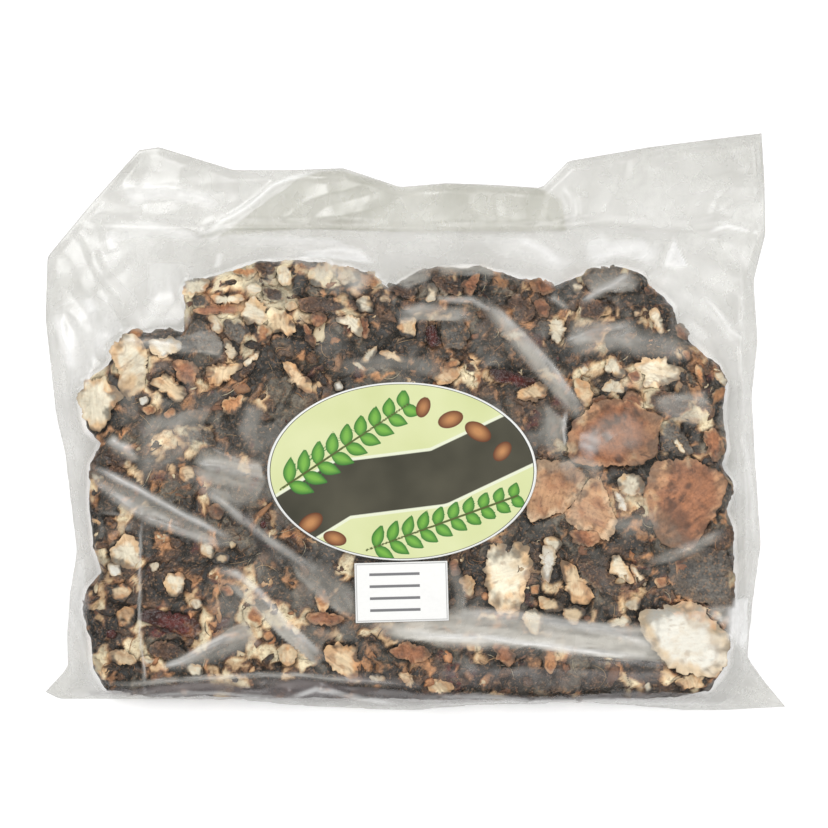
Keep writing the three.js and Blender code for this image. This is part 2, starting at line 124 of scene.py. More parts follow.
def clouds(x, y, pitch, seed, octaves=1):
    """Smooth noise from -1 to 1: random numbers at the corners of a lattice of the given pitch,
    blended between them with 3t² - 2t³. Each further octave has half the pitch and the weight."""
    table = 2 * lattice(seed) - 1
    total = np.zeros_like(x)
    for octave in range(octaves):
        u, v = x * 2**octave / pitch + 31.7 * octave, y * 2**octave / pitch + 17.3 * octave
        i, j = np.floor(u).astype(int), np.floor(v).astype(int)
        s, t = ease(u - i, 0, 1), ease(v - j, 0, 1)
        corner = [[table[(i + a) % TABLE, (j + b) % TABLE] for b in (0, 1)] for a in (0, 1)]
        near = corner[0][0] * (1 - s) + corner[1][0] * s
        far = corner[0][1] * (1 - s) + corner[1][1] * s
        total += (near * (1 - t) + far * t) / 2**octave
    return total / (2 - 2.0 ** (1 - octaves))


def cells(x, y, pitch, seed):
    """Splits the plane into the cells of a jittered lattice's points. Gives each place its cell's
    own four random numbers, the offset from the cell's point, and how much nearer that point is
    than the second nearest, which is 0 on the cell's border."""
    table = lattice(seed, 6)
    column, row = np.floor(x / pitch).astype(int), np.floor(y / pitch).astype(int)
    best, second = np.full(x.shape, np.inf), np.full(x.shape, np.inf)
    own = np.zeros(x.shape + (4,))
    offset = np.zeros(x.shape + (2,))
    for i in (-1, 0, 1):
        for j in (-1, 0, 1):
            draw = table[(column + i) % TABLE, (row + j) % TABLE]
            dx = x - (column + i + 0.1 + 0.8 * draw[..., 0]) * pitch
            dy = y - (row + j + 0.1 + 0.8 * draw[..., 1]) * pitch
            distance = np.hypot(dx, dy)
            nearer = distance < best
            second = np.where(nearer, best, np.minimum(second, distance))
            best = np.where(nearer, distance, best)
            own[nearer] = draw[nearer][:, 2:]
            offset[nearer] = np.stack([dx, dy], -1)[nearer]
    return own, offset, second - best


def distance_to_line(x, y, points):
    """Distance to a line of straight stretches, and how far along it the nearest place lies,
    from 0 to 1."""
    points = np.asarray(points, float)
    lengths = np.hypot(*np.diff(points, axis=0).T)
    before = np.concatenate([[0], np.cumsum(lengths)])
    nearest, along = np.full(x.shape, np.inf), np.zeros(x.shape)
    for (ax, ay), (bx, by), length, start in zip(points[:-1], points[1:], lengths, before):
        share = ((x - ax) * (bx - ax) + (y - ay) * (by - ay)) / length**2
        share = np.clip(share, 0, 1)
        distance = np.hypot(x - ax - share * (bx - ax), y - ay - share * (by - ay))
        closer = distance < nearest
        nearest = np.where(closer, distance, nearest)
        along = np.where(closer, (start + share * length) / before[-1], along)
    return nearest, along


def inside(x, y, outline):
    """True where a closed outline goes round the place: a ray from it crosses the outline an odd
    number of times."""
    odd = np.zeros(x.shape, bool)
    for (ax, ay), (bx, by) in zip(outline, np.roll(outline, -1, axis=0)):
        if ay == by:
            continue
        crosses = ((ay > y) != (by > y)) & (x < (bx - ax) * (y - ay) / (by - ay) + ax)
        odd ^= crosses
    return odd


def depth_in(x, y, outlines, margin):
    """How deep a place lies within any of some closed outlines, in millimetres: under 0 outside
    them, and not under -margin."""
    deepest = np.full(x.shape, -margin)
    for outline in outlines:
        low, high = outline.min(0) - margin, outline.max(0) + margin
        near = np.flatnonzero((x > low[0]) & (x < high[0]) & (y > low[1]) & (y < high[1]))
        distance, _ = distance_to_line(x[near], y[near], closed(outline))
        within = inside(x[near], y[near], outline)
        deepest[near] = np.maximum(deepest[near], np.where(within, distance, -distance))
    return deepest


# Meshes


def grid_faces(rows, columns, around=False):
    """Two triangles for each cell of a grid of corners, row by row, facing +Z where the rows run
    along +Y and the columns along +X. With around, the last column joins the first."""
    row = np.arange(rows - 1)[:, None]
    column = np.arange(columns if around else columns - 1)[None, :]
    right = (column + 1) % columns
    a, b = row * columns + column, row * columns + right
    d, c = a + columns, b + columns
    return np.concatenate([np.stack([a, b, c], -1), np.stack([a, c, d], -1)], 1).reshape(-1, 3)


def build(name, points, faces, slot, stands_for=(), **values):
    """A mesh piece from corners in millimetres and triangles, with a value or a colour for each
    corner under each given name, and its slot's material. It rides on the bag's one body."""
    mesh = bpy.data.meshes.new(name)
    mesh.vertices.add(len(points))
    mesh.vertices.foreach_set("co", (np.asarray(points, float) * MM).ravel())
    mesh.loops.add(faces.size)
    mesh.loops.foreach_set("vertex_index", faces.astype(np.int32).ravel())
    mesh.polygons.add(len(faces))
    mesh.polygons.foreach_set("loop_start", np.arange(0, faces.size, 3, dtype=np.int32))
    mesh.update(calc_edges=True)
    mesh.shade_smooth()
    for key, value in values.items():
        if value.ndim == 1:
            mesh.attributes.new(key, "FLOAT", "POINT").data.foreach_set("value", value)
        else:
            layer = mesh.attributes.new(key, "FLOAT_COLOR", "POINT")
            layer.data.foreach_set("color", np.insert(value, 3, 1.0, axis=1).ravel())
    piece = bpy.data.objects.new(name, mesh)
    bpy.context.scene.collection.objects.link(piece)
    mesh.materials.append(MATERIALS[slot])
    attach(piece, BODY)
    if stands_for:
        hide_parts(*stands_for)
    return piece


def corners_of(piece):
    """Corners of a piece or a solid, in millimetres."""
    corners = np.zeros(len(piece.data.vertices) * 3)
    piece.data.vertices.foreach_get("co", corners)
    return corners.reshape(-1, 3) / MM


def resample(edge, count):
    """An edge of straight stretches as evenly spaced points, with its bends eased."""
    length = np.concatenate([[0], np.cumsum(np.hypot(*np.diff(edge, axis=0).T))])
    along = np.linspace(0, length[-1], count)
    points = np.stack([np.interp(along, length, edge[:, k]) for k in (0, 1)], -1)
    for _ in range(3):
        points[1:-1] = (points[:-2] + 2 * points[1:-1] + points[2:]) / 4
    return points


def coons(front, right, back, left, rows, columns):
    """A grid of x and y spanned by four edges: the two blends between opposite edges, less the
    blend of the four corners, (1-v)F(u) + vB(u) + (1-u)L(v) + uR(v) - corners."""
    front, back = resample(front, columns), resample(back, columns)
    left, right = resample(left, rows), resample(right, rows)
    u = np.linspace(0, 1, columns)[None, :, None]
    v = np.linspace(0, 1, rows)[:, None, None]
    across = (1 - v) * front[None] + v * back[None]
    along = (1 - u) * left[:, None] + u * right[:, None]
    corners = (1 - v) * ((1 - u) * front[0] + u * front[-1])
    corners = corners + v * ((1 - u) * back[0] + u * back[-1])
    return across + along - corners


UNDER_STEP = 4  # an underside has one corner for this many of the top's, each way


def rim_of(rows, columns):
    """Corners of a grid's rim, once round anticlockwise."""
    index = np.arange(rows * columns).reshape(rows, columns)
    return np.concatenate([index[0, :-1], index[:-1, -1], index[-1, :0:-1], index[:0:-1, 0]])


def rim_faces(rim, foot, step):
    """A skirt of triangles from a rim down to a coarser one, both anticlockwise: each stretch of
    the lower rim is the base of a fan of the upper rim's stretches over it."""
    fans = np.arange(len(rim)).reshape(len(foot), step)
    after_rim, after_foot = np.roll(rim, -1), np.roll(foot, -1)
    over = np.stack([rim[fans], np.repeat(foot[:, None], step, 1), after_rim[fans]], -1)
    base = np.stack([foot, after_foot, after_rim[fans[:, -1]]], -1)
    return np.concatenate([over.reshape(-1, 3), base])


def two_layers(plan, top, low):
    """Corners and triangles of a closed piece over a plan: a grid at the top's heights, and under
    it one at the lower heights, with one corner for UNDER_STEP of the upper one's each way. A
    skirt joins them along the rim."""
    under = plan[::UNDER_STEP, ::UNDER_STEP]
    shape, coarse, count = plan.shape[:2], under.shape[:2], top.size
    faces = np.concatenate([
        grid_faces(*shape),
        grid_faces(*coarse)[:, ::-1] + count,
        rim_faces(rim_of(*shape), count + rim_of(*coarse), UNDER_STEP),
    ])
    layers = [np.dstack([plan, top.reshape(shape)]), np.dstack([under, low.reshape(coarse)])]
    return np.concatenate([layer.reshape(-1, 3) for layer in layers]), faces


# The bed of fruit


def joined(front, right, back, left):
    """Four edges as one closed outline, anticlockwise."""
    return np.concatenate([front[:-1], right[:-1], back[:0:-1], left[:0:-1]])


def closed(outline):
    """An outline with its first corner once more at its end."""
    return np.concatenate([outline, outline[:1]])


film_edges = [trace(edge) for edge in (FILM_FRONT, FILM_RIGHT, FILM_BACK, FILM_LEFT)]
fruit_edges = [trace(edge) for edge in (FRUIT_FRONT, FRUIT_RIGHT, FRUIT_BACK, FRUIT_LEFT)]
film_outline, fruit_outline = joined(*film_edges), joined(*fruit_edges)

# Colours of the fruit, as on a screen
BLACK_PULP = linear(34, 28, 24)
BROWN_PULP = linear(98, 70, 50)
GREY_PULP = linear(112, 103, 88)
RED_FLESH = linear(84, 26, 20)
ORANGE_RIND = linear(206, 148, 100)
RUST_RIND = linear(146, 100, 70)
TAN_SKIN = linear(226, 188, 140)
CREAM_SKIN = linear(246, 230, 192)

# Where the lighter fruit gathers: pixel, reach in pixels, and shares of cream, orange and red
GATHERINGS = [
    (240, 300, 75, 45, 0.9, 0.5, 0.0),
    (335, 285, 50, 35, 0.7, 0.45, 0.0),
    (125, 385, 40, 50, 0.7, 0.4, 0.0),
    (215, 385, 55, 35, 0.5, 0.5, 0.05),
    (110, 560, 30, 60, 0.6, 0.4, 0.05),
    (130, 640, 40, 45, 0.65, 0.4, 0.0),
    (220, 590, 60, 50, 0.4, 0.5, 0.05),
    (180, 620, 30, 20, 0.1, 0.2, 0.9),
    (270, 640, 60, 40, 0.4, 0.5, 0.05),
    (345, 640, 45, 50, 0.2, 0.35, 0.0),
    (445, 370, 50, 25, 0.3, 0.7, 0.25),
    (505, 330, 60, 50, 0.2, 0.45, 0.1),
    (610, 375, 55, 30, 0.6, 0.45, 0.1),
    (700, 390, 30, 45, 0.45, 0.5, 0.0),
    (600, 500, 70, 50, 0.2, 0.52, 0.0),
    (540, 590, 70, 45, 0.28, 0.38, 0.05),
    (640, 600, 50, 35, 0.12, 0.3, 0.0),
    (560, 665, 90, 20, 0.1, 0.35, 0.0),
    (430, 670, 80, 22, 0.1, 0.28, 0.05),
    (330, 430, 90, 50, 0.15, 0.3, 0.05),
]
BASE_SHARES = (0.1, 0.13, 0.02)


def shares(x, y):
    """How likely cream, orange and red fruit are at a place: a base, raised in each gathering by
    a bell exp(-d²) of the distance d to its middle over its reach."""
    total = [np.full(x.shape, base) for base in BASE_SHARES]
    for px, py, wide, high, *raised in GATHERINGS:
        cx, cy = at_pixel(px, py)
        u, v = (x - cx) / (wide / PIXELS_PER_MM), (y - cy) / (high / PIXELS_PER_MM)
        bell = np.exp(-(u * u + v * v))
        total = [np.maximum(held, bell * extra) for held, extra in zip(total, raised)]
    return total


LABEL_LOW, LABEL_HIGH = (np.array(corner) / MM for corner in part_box("oval_label"))
LABEL_MIDDLE = (LABEL_LOW + LABEL_HIGH)[:2] / 2
LABEL_HALF = (LABEL_HIGH - LABEL_LOW)[:2] / 2


def label_reach(x, y):
    """How far out in the label's oval a place lies: under 1 within it."""
    return np.hypot((x - LABEL_MIDDLE[0]) / LABEL_HALF[0], (y - LABEL_MIDDLE[1]) / LABEL_HALF[1])


def beyond_fruit(x, y):
    """How far outside the fruit a place lies: under 0 within it."""
    distance, _ = distance_to_line(x, y, closed(fruit_outline))
    return np.where(inside(x, y, fruit_outline), -distance, distance)


def fruit_level(y):
    return FRUIT_TOP - FRUIT_FALL * y


# Outlines of the larger pieces, numbered as their solids are: finish, and corners in the
# photograph's pixels
FLAKES = {
    "rind_flake": [
        ("rind", [564, 436, 574, 424, 590, 408, 602, 398, 616, 404, 628, 400, 641, 413, 656, 415,
            653, 428, 650, 455, 640, 461, 622, 465, 600, 464, 584, 460, 572, 461, 567, 448]),
        ("rind", [655, 461, 672, 459, 697, 463, 712, 472, 722, 485, 717, 497, 705, 518, 697, 528,
            692, 544, 680, 545, 665, 542, 653, 533, 645, 508, 643, 490, 647, 475]),
        ("pale_rind", [528, 463, 550, 461, 566, 463, 578, 472, 581, 484, 573, 496, 560, 510,
            545, 513, 530, 522, 524, 495]),
        ("pale_rind", [590, 476, 597, 480, 605, 495, 613, 520, 604, 543, 592, 530, 578, 528,
            566, 520, 564, 509, 575, 499]),
        ("rind", [619, 399, 627, 391, 638, 394, 641, 404, 633, 410, 622, 408]),
        ("rind", [566, 530, 578, 527, 592, 531, 597, 540, 586, 545, 572, 541]),
        ("rind", [312, 315, 322, 313, 328, 318, 326, 325, 316, 328, 311, 320]),
        ("bark", [578, 305, 592, 300, 606, 302, 613, 309, 606, 317, 592, 320, 580, 318]),
    ],
    "membrane_flake": [
        ("cream", [126, 338, 138, 337, 146, 345, 150, 358, 149, 372, 147, 385, 143, 393, 134, 398,
            126, 395, 121, 384, 124, 373, 117, 362, 114, 352, 118, 344]),
        ("cream", [84, 396, 88, 384, 98, 377, 108, 379, 118, 388, 127, 399, 117, 404, 113, 414,
            108, 430, 97, 428, 88, 416, 84, 405]),
        ("cream", [184, 287, 192, 281, 204, 279, 213, 283, 208, 290, 199, 294, 195, 299,
            187, 294]),
        ("cream", [212, 294, 224, 298, 240, 296, 249, 299, 240, 304, 222, 305, 214, 301]),
        ("cream", [248, 301, 258, 299, 266, 306, 268, 316, 263, 326, 252, 324, 240, 319,
            247, 311]),
        ("tan", [270, 312, 282, 310, 292, 318, 297, 333, 290, 338, 283, 331, 275, 335, 269, 325]),
        ("cream", [279, 267, 288, 268, 293, 276, 291, 286, 284, 288, 279, 278]),
        ("cream", [307, 277, 318, 266, 330, 267, 334, 278, 326, 289, 314, 287]),
        ("cream", [334, 320, 347, 316, 360, 318, 362, 328, 363, 339, 355, 335, 348, 327]),
        ("cream", [356, 300, 366, 297, 374, 304, 372, 312, 360, 313]),
        ("tan", [209, 368, 222, 364, 236, 366, 247, 360, 241, 370, 229, 379, 220, 387, 211, 383]),
        ("tan", [284, 362, 296, 366, 306, 376, 313, 386, 311, 394, 302, 389, 291, 381]),
        ("tan", [150, 383, 162, 378, 175, 376, 183, 385, 189, 392, 186, 400, 178, 402, 169, 393]),
        ("cream", [127, 533, 136, 536, 143, 546, 144, 560, 138, 568, 127, 566, 118, 557, 114, 546,
            122, 542]),
        ("cream", [172, 572, 182, 569, 190, 576, 186, 588, 181, 595, 172, 590, 169, 580]),
        ("tan", [121, 612, 129, 604, 138, 606, 141, 616, 136, 627, 126, 624]),
        ("tan", [112, 650, 122, 645, 133, 648, 142, 655, 136, 660, 121, 659]),
        ("tan", [330, 642, 342, 640, 356, 643, 360, 652, 357, 662, 361, 672, 350, 674, 340, 668,
            332, 661, 327, 650]),
        ("cream", [543, 321, 556, 320, 564, 324, 562, 336, 557, 347, 551, 338, 548, 328]),
        ("cream", [606, 354, 614, 359, 620, 367, 623, 378, 612, 377, 603, 370]),
        ("tan", [572, 382, 583, 381, 589, 390, 592, 404, 586, 410, 578, 400, 572, 391]),
        ("cream", [632, 367, 643, 356, 649, 361, 661, 358, 668, 366, 683, 373, 672, 381, 655, 387,
            638, 388, 643, 377]),
        ("tan", [513, 392, 526, 388, 538, 382, 545, 387, 545, 395, 534, 402, 522, 400]),
        ("cream", [613, 478, 628, 472, 640, 478, 641, 490, 630, 496, 618, 492]),
        ("cream", [487, 545, 500, 541, 515, 542, 527, 546, 530, 560, 527, 575, 522, 590, 517, 605,
            505, 610, 493, 606, 487, 590, 484, 568]),
        ("tan", [558, 556, 569, 560, 576, 572, 586, 582, 592, 594, 584, 603, 572, 600, 565, 590,
            561, 576]),
        ("cream", [521, 612, 532, 605, 542, 610, 540, 620, 534, 632, 525, 623]),
        ("white", [634, 612, 650, 608, 668, 603, 684, 600, 696, 602, 702, 616, 712, 622, 723, 634,
            721, 648, 717, 664, 706, 674, 695, 667, 679, 668, 664, 660, 652, 647, 643, 632]),
        ("cream", [647, 312, 654, 311, 659, 321, 662, 332, 657, 336, 650, 325]),
        ("cream", [607, 556, 615, 551, 622, 562, 630, 575, 628, 582, 619, 574, 608, 571]),
    ],
    "flesh_strip": [
        ("flesh", [142, 612, 152, 606, 165, 609, 182, 610, 197, 616, 205, 626, 200, 635, 188, 633,
            174, 627, 162, 622, 150, 620]),
        ("flesh", [489, 369, 503, 371, 520, 376, 536, 380, 532, 388, 515, 386, 498, 382,
            488, 377]),
        ("flesh", [426, 330, 433, 325, 437, 336, 442, 346, 432, 350, 426, 342]),
    ],
}

# Smaller pieces that the photograph shows, likewise
PIECES = [
    ("orange", [232, 272, 252, 266, 260, 272, 250, 280]),
    ("bark", [257, 265, 270, 262, 277, 270, 275, 280, 262, 279]),
    ("cream", [246, 286, 258, 284, 263, 291, 256, 298, 247, 294]),
    ("slate", [194, 299, 208, 295, 213, 301, 206, 309, 195, 309]),
    ("rind", [192, 310, 215, 306, 246, 305, 247, 312, 225, 315, 200, 315]),
    ("bark", [264, 289, 285, 291, 290, 300, 275, 304, 265, 299]),
    ("orange", [262, 326, 273, 331, 270, 343, 258, 346, 254, 338]),
    ("cream", [210, 317, 218, 316, 225, 327, 224, 335, 215, 331]),
    ("slate", [188, 332, 200, 322, 214, 330, 224, 345, 222, 357, 208, 353, 194, 345]),
    ("slate", [226, 322, 240, 320, 253, 331, 251, 343, 240, 346, 228, 336]),
    ("cream", [226, 338, 234, 345, 240, 355, 232, 360, 227, 350]),
    ("white", [154, 341, 172, 339, 185, 343, 180, 353, 165, 358, 153, 354]),
    ("bark", [152, 335, 160, 330, 172, 329, 179, 335, 165, 339]),
    ("rind", [176, 363, 196, 361, 202, 370, 196, 384, 184, 383, 178, 374]),
    ("orange", [130, 333, 138, 329, 145, 333, 143, 341, 133, 341]),
    ("orange", [209, 379, 218, 374, 228, 380, 221, 387, 211, 388]),
    ("cream", [246, 363, 255, 354, 263, 349, 259, 358, 250, 367]),
    ("bark", [233, 377, 248, 367, 260, 361, 254, 372, 240, 381]),
    ("orange", [225, 402, 236, 398, 247, 391, 244, 404, 236, 414, 226, 411]),
    ("white", [141, 399, 150, 396, 153, 402, 145, 405]),
    ("orange", [142, 408, 155, 404, 161, 410, 150, 415]),
    ("orange", [165, 414, 176, 408, 181, 414, 170, 420]),
    ("bark", [300, 301, 330, 298, 356, 302, 357, 312, 330, 315, 301, 313]),
    ("tan", [284, 306, 294, 301, 300, 308, 290, 313]),
    ("cream", [339, 268, 354, 268, 362, 279, 347, 287, 338, 279]),
    ("orange", [360, 272, 374, 274, 384, 285, 372, 287, 358, 283]),
    ("tan", [382, 293, 392, 300, 389, 306, 380, 302]),
    ("rind", [303, 321, 311, 330, 318, 342, 313, 348, 306, 338]),
    ("rind", [361, 316, 368, 320, 369, 332, 367, 341, 361, 335]),
    ("tan", [400, 319, 416, 319, 415, 337, 402, 337, 398, 328]),
    ("bark", [418, 322, 427, 319, 429, 331, 424, 346, 416, 340]),
    ("slate", [442, 322, 462, 324, 470, 336, 460, 350, 446, 348, 440, 336]),
    ("cream", [361, 363, 365, 354, 379, 345, 374, 356, 366, 365]),
    ("tan", [378, 353, 391, 351, 403, 357, 408, 364, 396, 361, 384, 358]),
    ("cream", [350, 361, 361, 363, 369, 373, 359, 369]),
    ("white", [334, 384, 341, 380, 344, 389, 337, 391]),
    ("cream", [424, 303, 428, 294, 427, 286, 434, 283, 438, 289, 436, 303]),
    ("rind", [462, 285, 470, 278, 480, 274, 476, 286, 470, 296, 464, 293]),
    ("bark", [400, 302, 420, 303, 437, 306, 432, 313, 412, 312, 400, 310]),
    ("orange", [443, 363, 452, 359, 461, 362, 456, 369, 446, 370]),
    ("tan", [430, 379, 440, 369, 452, 367, 462, 375, 452, 382, 438, 385]),
    ("bark", [463, 359, 472, 362, 479, 372, 472, 377, 464, 370]),
    ("orange", [476, 372, 484, 371, 483, 382, 477, 390, 473, 382]),
    ("bark", [386, 284, 400, 286, 418, 290, 412, 299, 397, 297]),
    ("bark", [430, 278, 455, 276, 462, 284, 460, 297, 442, 295]),
    ("cream", [497, 336, 512, 329, 526, 332, 517, 342, 505, 341]),
    ("rind", [533, 304, 542, 299, 549, 308, 547, 319, 538, 317]),
    ("slate", [537, 321, 550, 324, 552, 336, 543, 341, 533, 333]),
    ("bark", [505, 300, 516, 295, 528, 300, 535, 317, 526, 324, 512, 319]),
    ("rind", [528, 284, 540, 279, 552, 284, 557, 292, 544, 295, 532, 291]),
    ("cream", [568, 281, 576, 281, 581, 288, 577, 296, 570, 291]),
    ("slate", [580, 277, 592, 270, 612, 268, 632, 273, 644, 281, 638, 291, 610, 293, 590, 293]),
    ("rind", [641, 289, 650, 287, 654, 294, 645, 297]),
    ("tan", [631, 311, 640, 309, 639, 317, 633, 319]),
    ("rind", [673, 326, 682, 324, 689, 334, 684, 341, 676, 337]),
    ("orange", [679, 352, 687, 351, 689, 360, 682, 363]),
    ("orange", [693, 363, 699, 369, 704, 384, 698, 389, 693, 376]),
    ("cream", [710, 371, 720, 373, 726, 380, 722, 387, 714, 381]),
    ("orange", [711, 390, 722, 388, 721, 398, 711, 405, 707, 397]),
    ("cream", [599, 390, 609, 380, 620, 382, 622, 393, 612, 392]),
    ("cream", [576, 367, 583, 363, 588, 370, 581, 376]),
    ("rind", [590, 400, 600, 394, 605, 404, 598, 415, 590, 411]),
    ("rind", [624, 373, 636, 371, 641, 380, 631, 385]),
    ("bark", [641, 393, 668, 392, 690, 405, 680, 416, 655, 413, 643, 403]),
    ("slate", [657, 425, 668, 420, 681, 436, 690, 452, 676, 457, 660, 449]),
    ("cream", [668, 432, 676, 440, 683, 453, 677, 453, 671, 443]),
    ("rind", [699, 432, 710, 427, 717, 440, 723, 452, 712, 463, 704, 450]),
    ("white", [611, 490, 620, 494, 626, 506, 624, 514, 616, 506]),
    ("slate", [724, 480, 732, 486, 730, 500, 721, 512, 716, 508, 722, 494]),
    ("bark", [704, 532, 721, 518, 730, 530, 728, 545, 712, 549]),
    ("cream", [542, 537, 552, 535, 561, 541, 556, 550, 545, 551]),
    ("slate", [664, 556, 690, 547, 722, 550, 730, 572, 729, 600, 718, 606, 694, 598, 670, 588]),
    ("white", [540, 546, 550, 543, 555, 556, 550, 570, 545, 584, 540, 570]),
    ("orange", [527, 583, 537, 582, 539, 592, 530, 593]),
    ("tan", [536, 592, 552, 596, 562, 606, 548, 611, 538, 604]),
    ("cream", [626, 561, 635, 568, 641, 577, 646, 587, 637, 581, 630, 572]),
    ("orange", [651, 576, 662, 574, 664, 583, 654, 586]),
    ("cream", [621, 600, 632, 592, 639, 598, 633, 608, 625, 607]),
    ("rind", [671, 560, 682, 555, 691, 560, 685, 571, 674, 573]),
    ("tan", [559, 605, 575, 602, 584, 608, 575, 621, 563, 618]),
    ("cream", [601, 617, 612, 615, 622, 612, 631, 618, 622, 624, 607, 623]),
    ("orange", [539, 643, 552, 641, 557, 655, 549, 669, 541, 660]),
    ("tan", [668, 677, 686, 670, 700, 672, 697, 683, 682, 685]),
    ("cream", [640, 683, 645, 677, 649, 684, 644, 690]),
    ("bark", [572, 560, 598, 564, 620, 580, 608, 592, 584, 582]),
    ("rind", [491, 640, 502, 639, 515, 652, 508, 663, 496, 656]),
    ("bark", [104, 446, 120, 448, 140, 456, 132, 467, 111, 465]),
    ("cream", [91, 470, 102, 473, 109, 478, 100, 484, 92, 479]),
    ("slate", [186, 432, 202, 423, 215, 430, 217, 441, 204, 451, 189, 446]),
    ("tan", [184, 468, 194, 465, 201, 472, 194, 483, 185, 481]),
    ("rind", [211, 506, 220, 502, 227, 510, 223, 519, 214, 517]),
    ("cream", [202, 542, 210, 539, 217, 546, 214, 557, 206, 551]),
    ("tan", [214, 556, 222, 549, 233, 553, 229, 561, 217, 561]),
    ("cream", [151, 562, 163, 560, 161, 568, 155, 570]),
    ("white", [112, 562, 122, 559, 126, 572, 115, 574]),
    ("tan", [117, 586, 128, 579, 137, 588, 128, 599, 118, 596]),
    ("rind", [223, 586, 231, 582, 237, 590, 229, 595]),
    ("cream", [193, 597, 203, 594, 207, 602, 198, 607]),
    ("orange", [245, 608, 258, 603, 267, 612, 263, 623, 250, 621]),
    ("orange", [265, 628, 274, 625, 277, 634, 268, 637]),
    ("tan", [279, 645, 290, 639, 299, 648, 296, 661, 284, 659]),
    ("cream", [190, 661, 202, 661, 209, 667, 198, 673, 190, 668]),
    ("cream", [142, 655, 152, 651, 161, 658, 150, 663]),
    ("bark", [155, 640, 175, 639, 191, 648, 170, 657, 157, 651]),
    ("orange", [317, 588, 326, 585, 331, 598, 326, 609, 318, 603]),
    ("rind", [305, 613, 325, 607, 346, 614, 335, 623, 315, 621]),
    ("tan", [404, 623, 418, 617, 429, 615, 424, 625, 410, 629]),
    ("rind", [389, 647, 405, 639, 420, 641, 431, 652, 420, 659, 400, 655]),
    ("tan", [465, 638, 473, 637, 475, 647, 468, 651]),
    ("tan", [399, 668, 412, 671, 426, 680, 412, 682, 402, 677]),
    ("tan", [424, 681, 440, 677, 456, 682, 448, 689, 430, 689]),
    ("tan", [459, 578, 468, 571, 475, 580, 471, 596, 462, 591]),
    ("rind", [449, 560, 457, 557, 459, 572, 451, 575]),
    ("cream", [368, 671, 384, 671, 388, 678, 374, 680]),
]
flakes = {
    f"{name}_{number:02d}": (finish, trace(pixels))
    for name, rows in FLAKES.items() for number, (finish, pixels) in enumerate(rows, 1)
}
flake_outlines = [outline for _, outline in flakes.values()]
piece_outlines = [trace(pixels) for _, pixels in PIECES]


def under_flakes(x, y):
    """Height that leaves room for the larger pieces of fruit: the underside of each one's solid
    within its outline, and rising outside it."""
    room = np.full(x.shape, 99.0)
    for node, (_, outline) in flakes.items():
        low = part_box(node)[0][2] / MM
        room = np.minimum(room, low + 0.3 + 5 * ease(-depth_in(x, y, [outline], 3.0), 0, 3))
    return room


def on_pieces(x, y):
    """How deep a place lies within an outlined piece: under 0 clear of them."""
    return depth_in(x, y, flake_outlines + piece_outlines, 3.0)


def torn(x, y):
    """A place moved by noise of two sizes, so that what is drawn there looks torn."""
    return (x + 4.2 * clouds(x, y, 8, 3, 3) + 0.7 * clouds(x, y, 1.6, 9),
            y + 4.2 * clouds(x, y, 8, 4, 3) + 0.7 * clouds(x, y, 1.6, 10))


def skin_cover(x, y):
    """How far into a patch of pale skin a place lies: above 0 within it."""
    return clouds(*torn(x, y), 7, 13, 3) + 0.75 * (shares(x, y)[0] - 0.62)


def rind_cover(x, y):
    """How far into a bit of orange rind a place lies: above 0 within it."""
    return clouds(*torn(x, y), 4.2, 14, 3) + 0.7 * (shares(x, y)[1] - 0.62)


def fruit_relief(x, y):
    """Broken chunks of three sizes, each a tilted cell with a groove of depth exp(-gap) along its
    border, and patches of skin and rind that stand a little over them."""
    wx, wy = torn(x, y)
    relief = np.zeros_like(x)
    for pitch, rise, groove, seed in ((15, 1.9, 2.4, 5), (7, 1.1, 1.3, 6), (3, 0.5, 0.5, 7)):
        own, offset, gap = cells(wx, wy, pitch, seed)
        lean = (own[..., 1] - 0.5) * offset[..., 0] + (own[..., 2] - 0.5) * offset[..., 1]
        relief += rise * (own[..., 0] - 0.6) + 1.8 * rise * lean / pitch
        relief -= groove * np.exp(-gap / (0.09 * pitch))
    skin = ease(skin_cover(x, y), -0.05, 0.06)
    relief = relief * (1 - 0.45 * skin) + 0.6 * skin + 0.5 * ease(rind_cover(x, y), -0.03, 0.06)
    return relief + 0.35 * (1 - 0.5 * skin) * clouds(x, y, 1.5, 8, 2)


def bed_level(x, y):
    """The plane that the bed lies on, which falls towards the mouth and rounds off at the rim as
    a quarter of an ellipse. Also how far up the rounding a place lies."""
    shoulder = np.clip(np.maximum(-beyond_fruit(x, y), 0) / SHOULDER, 0, 1)
    crown = np.sqrt(1 - (1 - shoulder) ** 2)
    return FLOOR + (fruit_level(y) - FLOOR) * (RIM_SHARE + (1 - RIM_SHARE) * crown), crown


def fruit_height(x, y):
    """Height of the bed: its level with its relief on it, sunk under the outlined pieces."""
    level, crown = bed_level(x, y)
    calm = ease(label_reach(x, y), 0.95, 1.2)
    relief = fruit_relief(x, y) * (0.35 + 0.65 * crown) * (0.25 + 0.75 * calm)
    relief = relief - (0.8 + 0.8 * np.maximum(relief, 0)) * ease(on_pieces(x, y), -0.5, 0.8)
    return np.minimum(level + relief - 0.7 * (1 - calm), under_flakes(x, y))


def blend(colour, other, share):
    """A colour moved towards another by a share at each corner."""
    return colour + (other - colour) * np.asarray(share)[:, None]


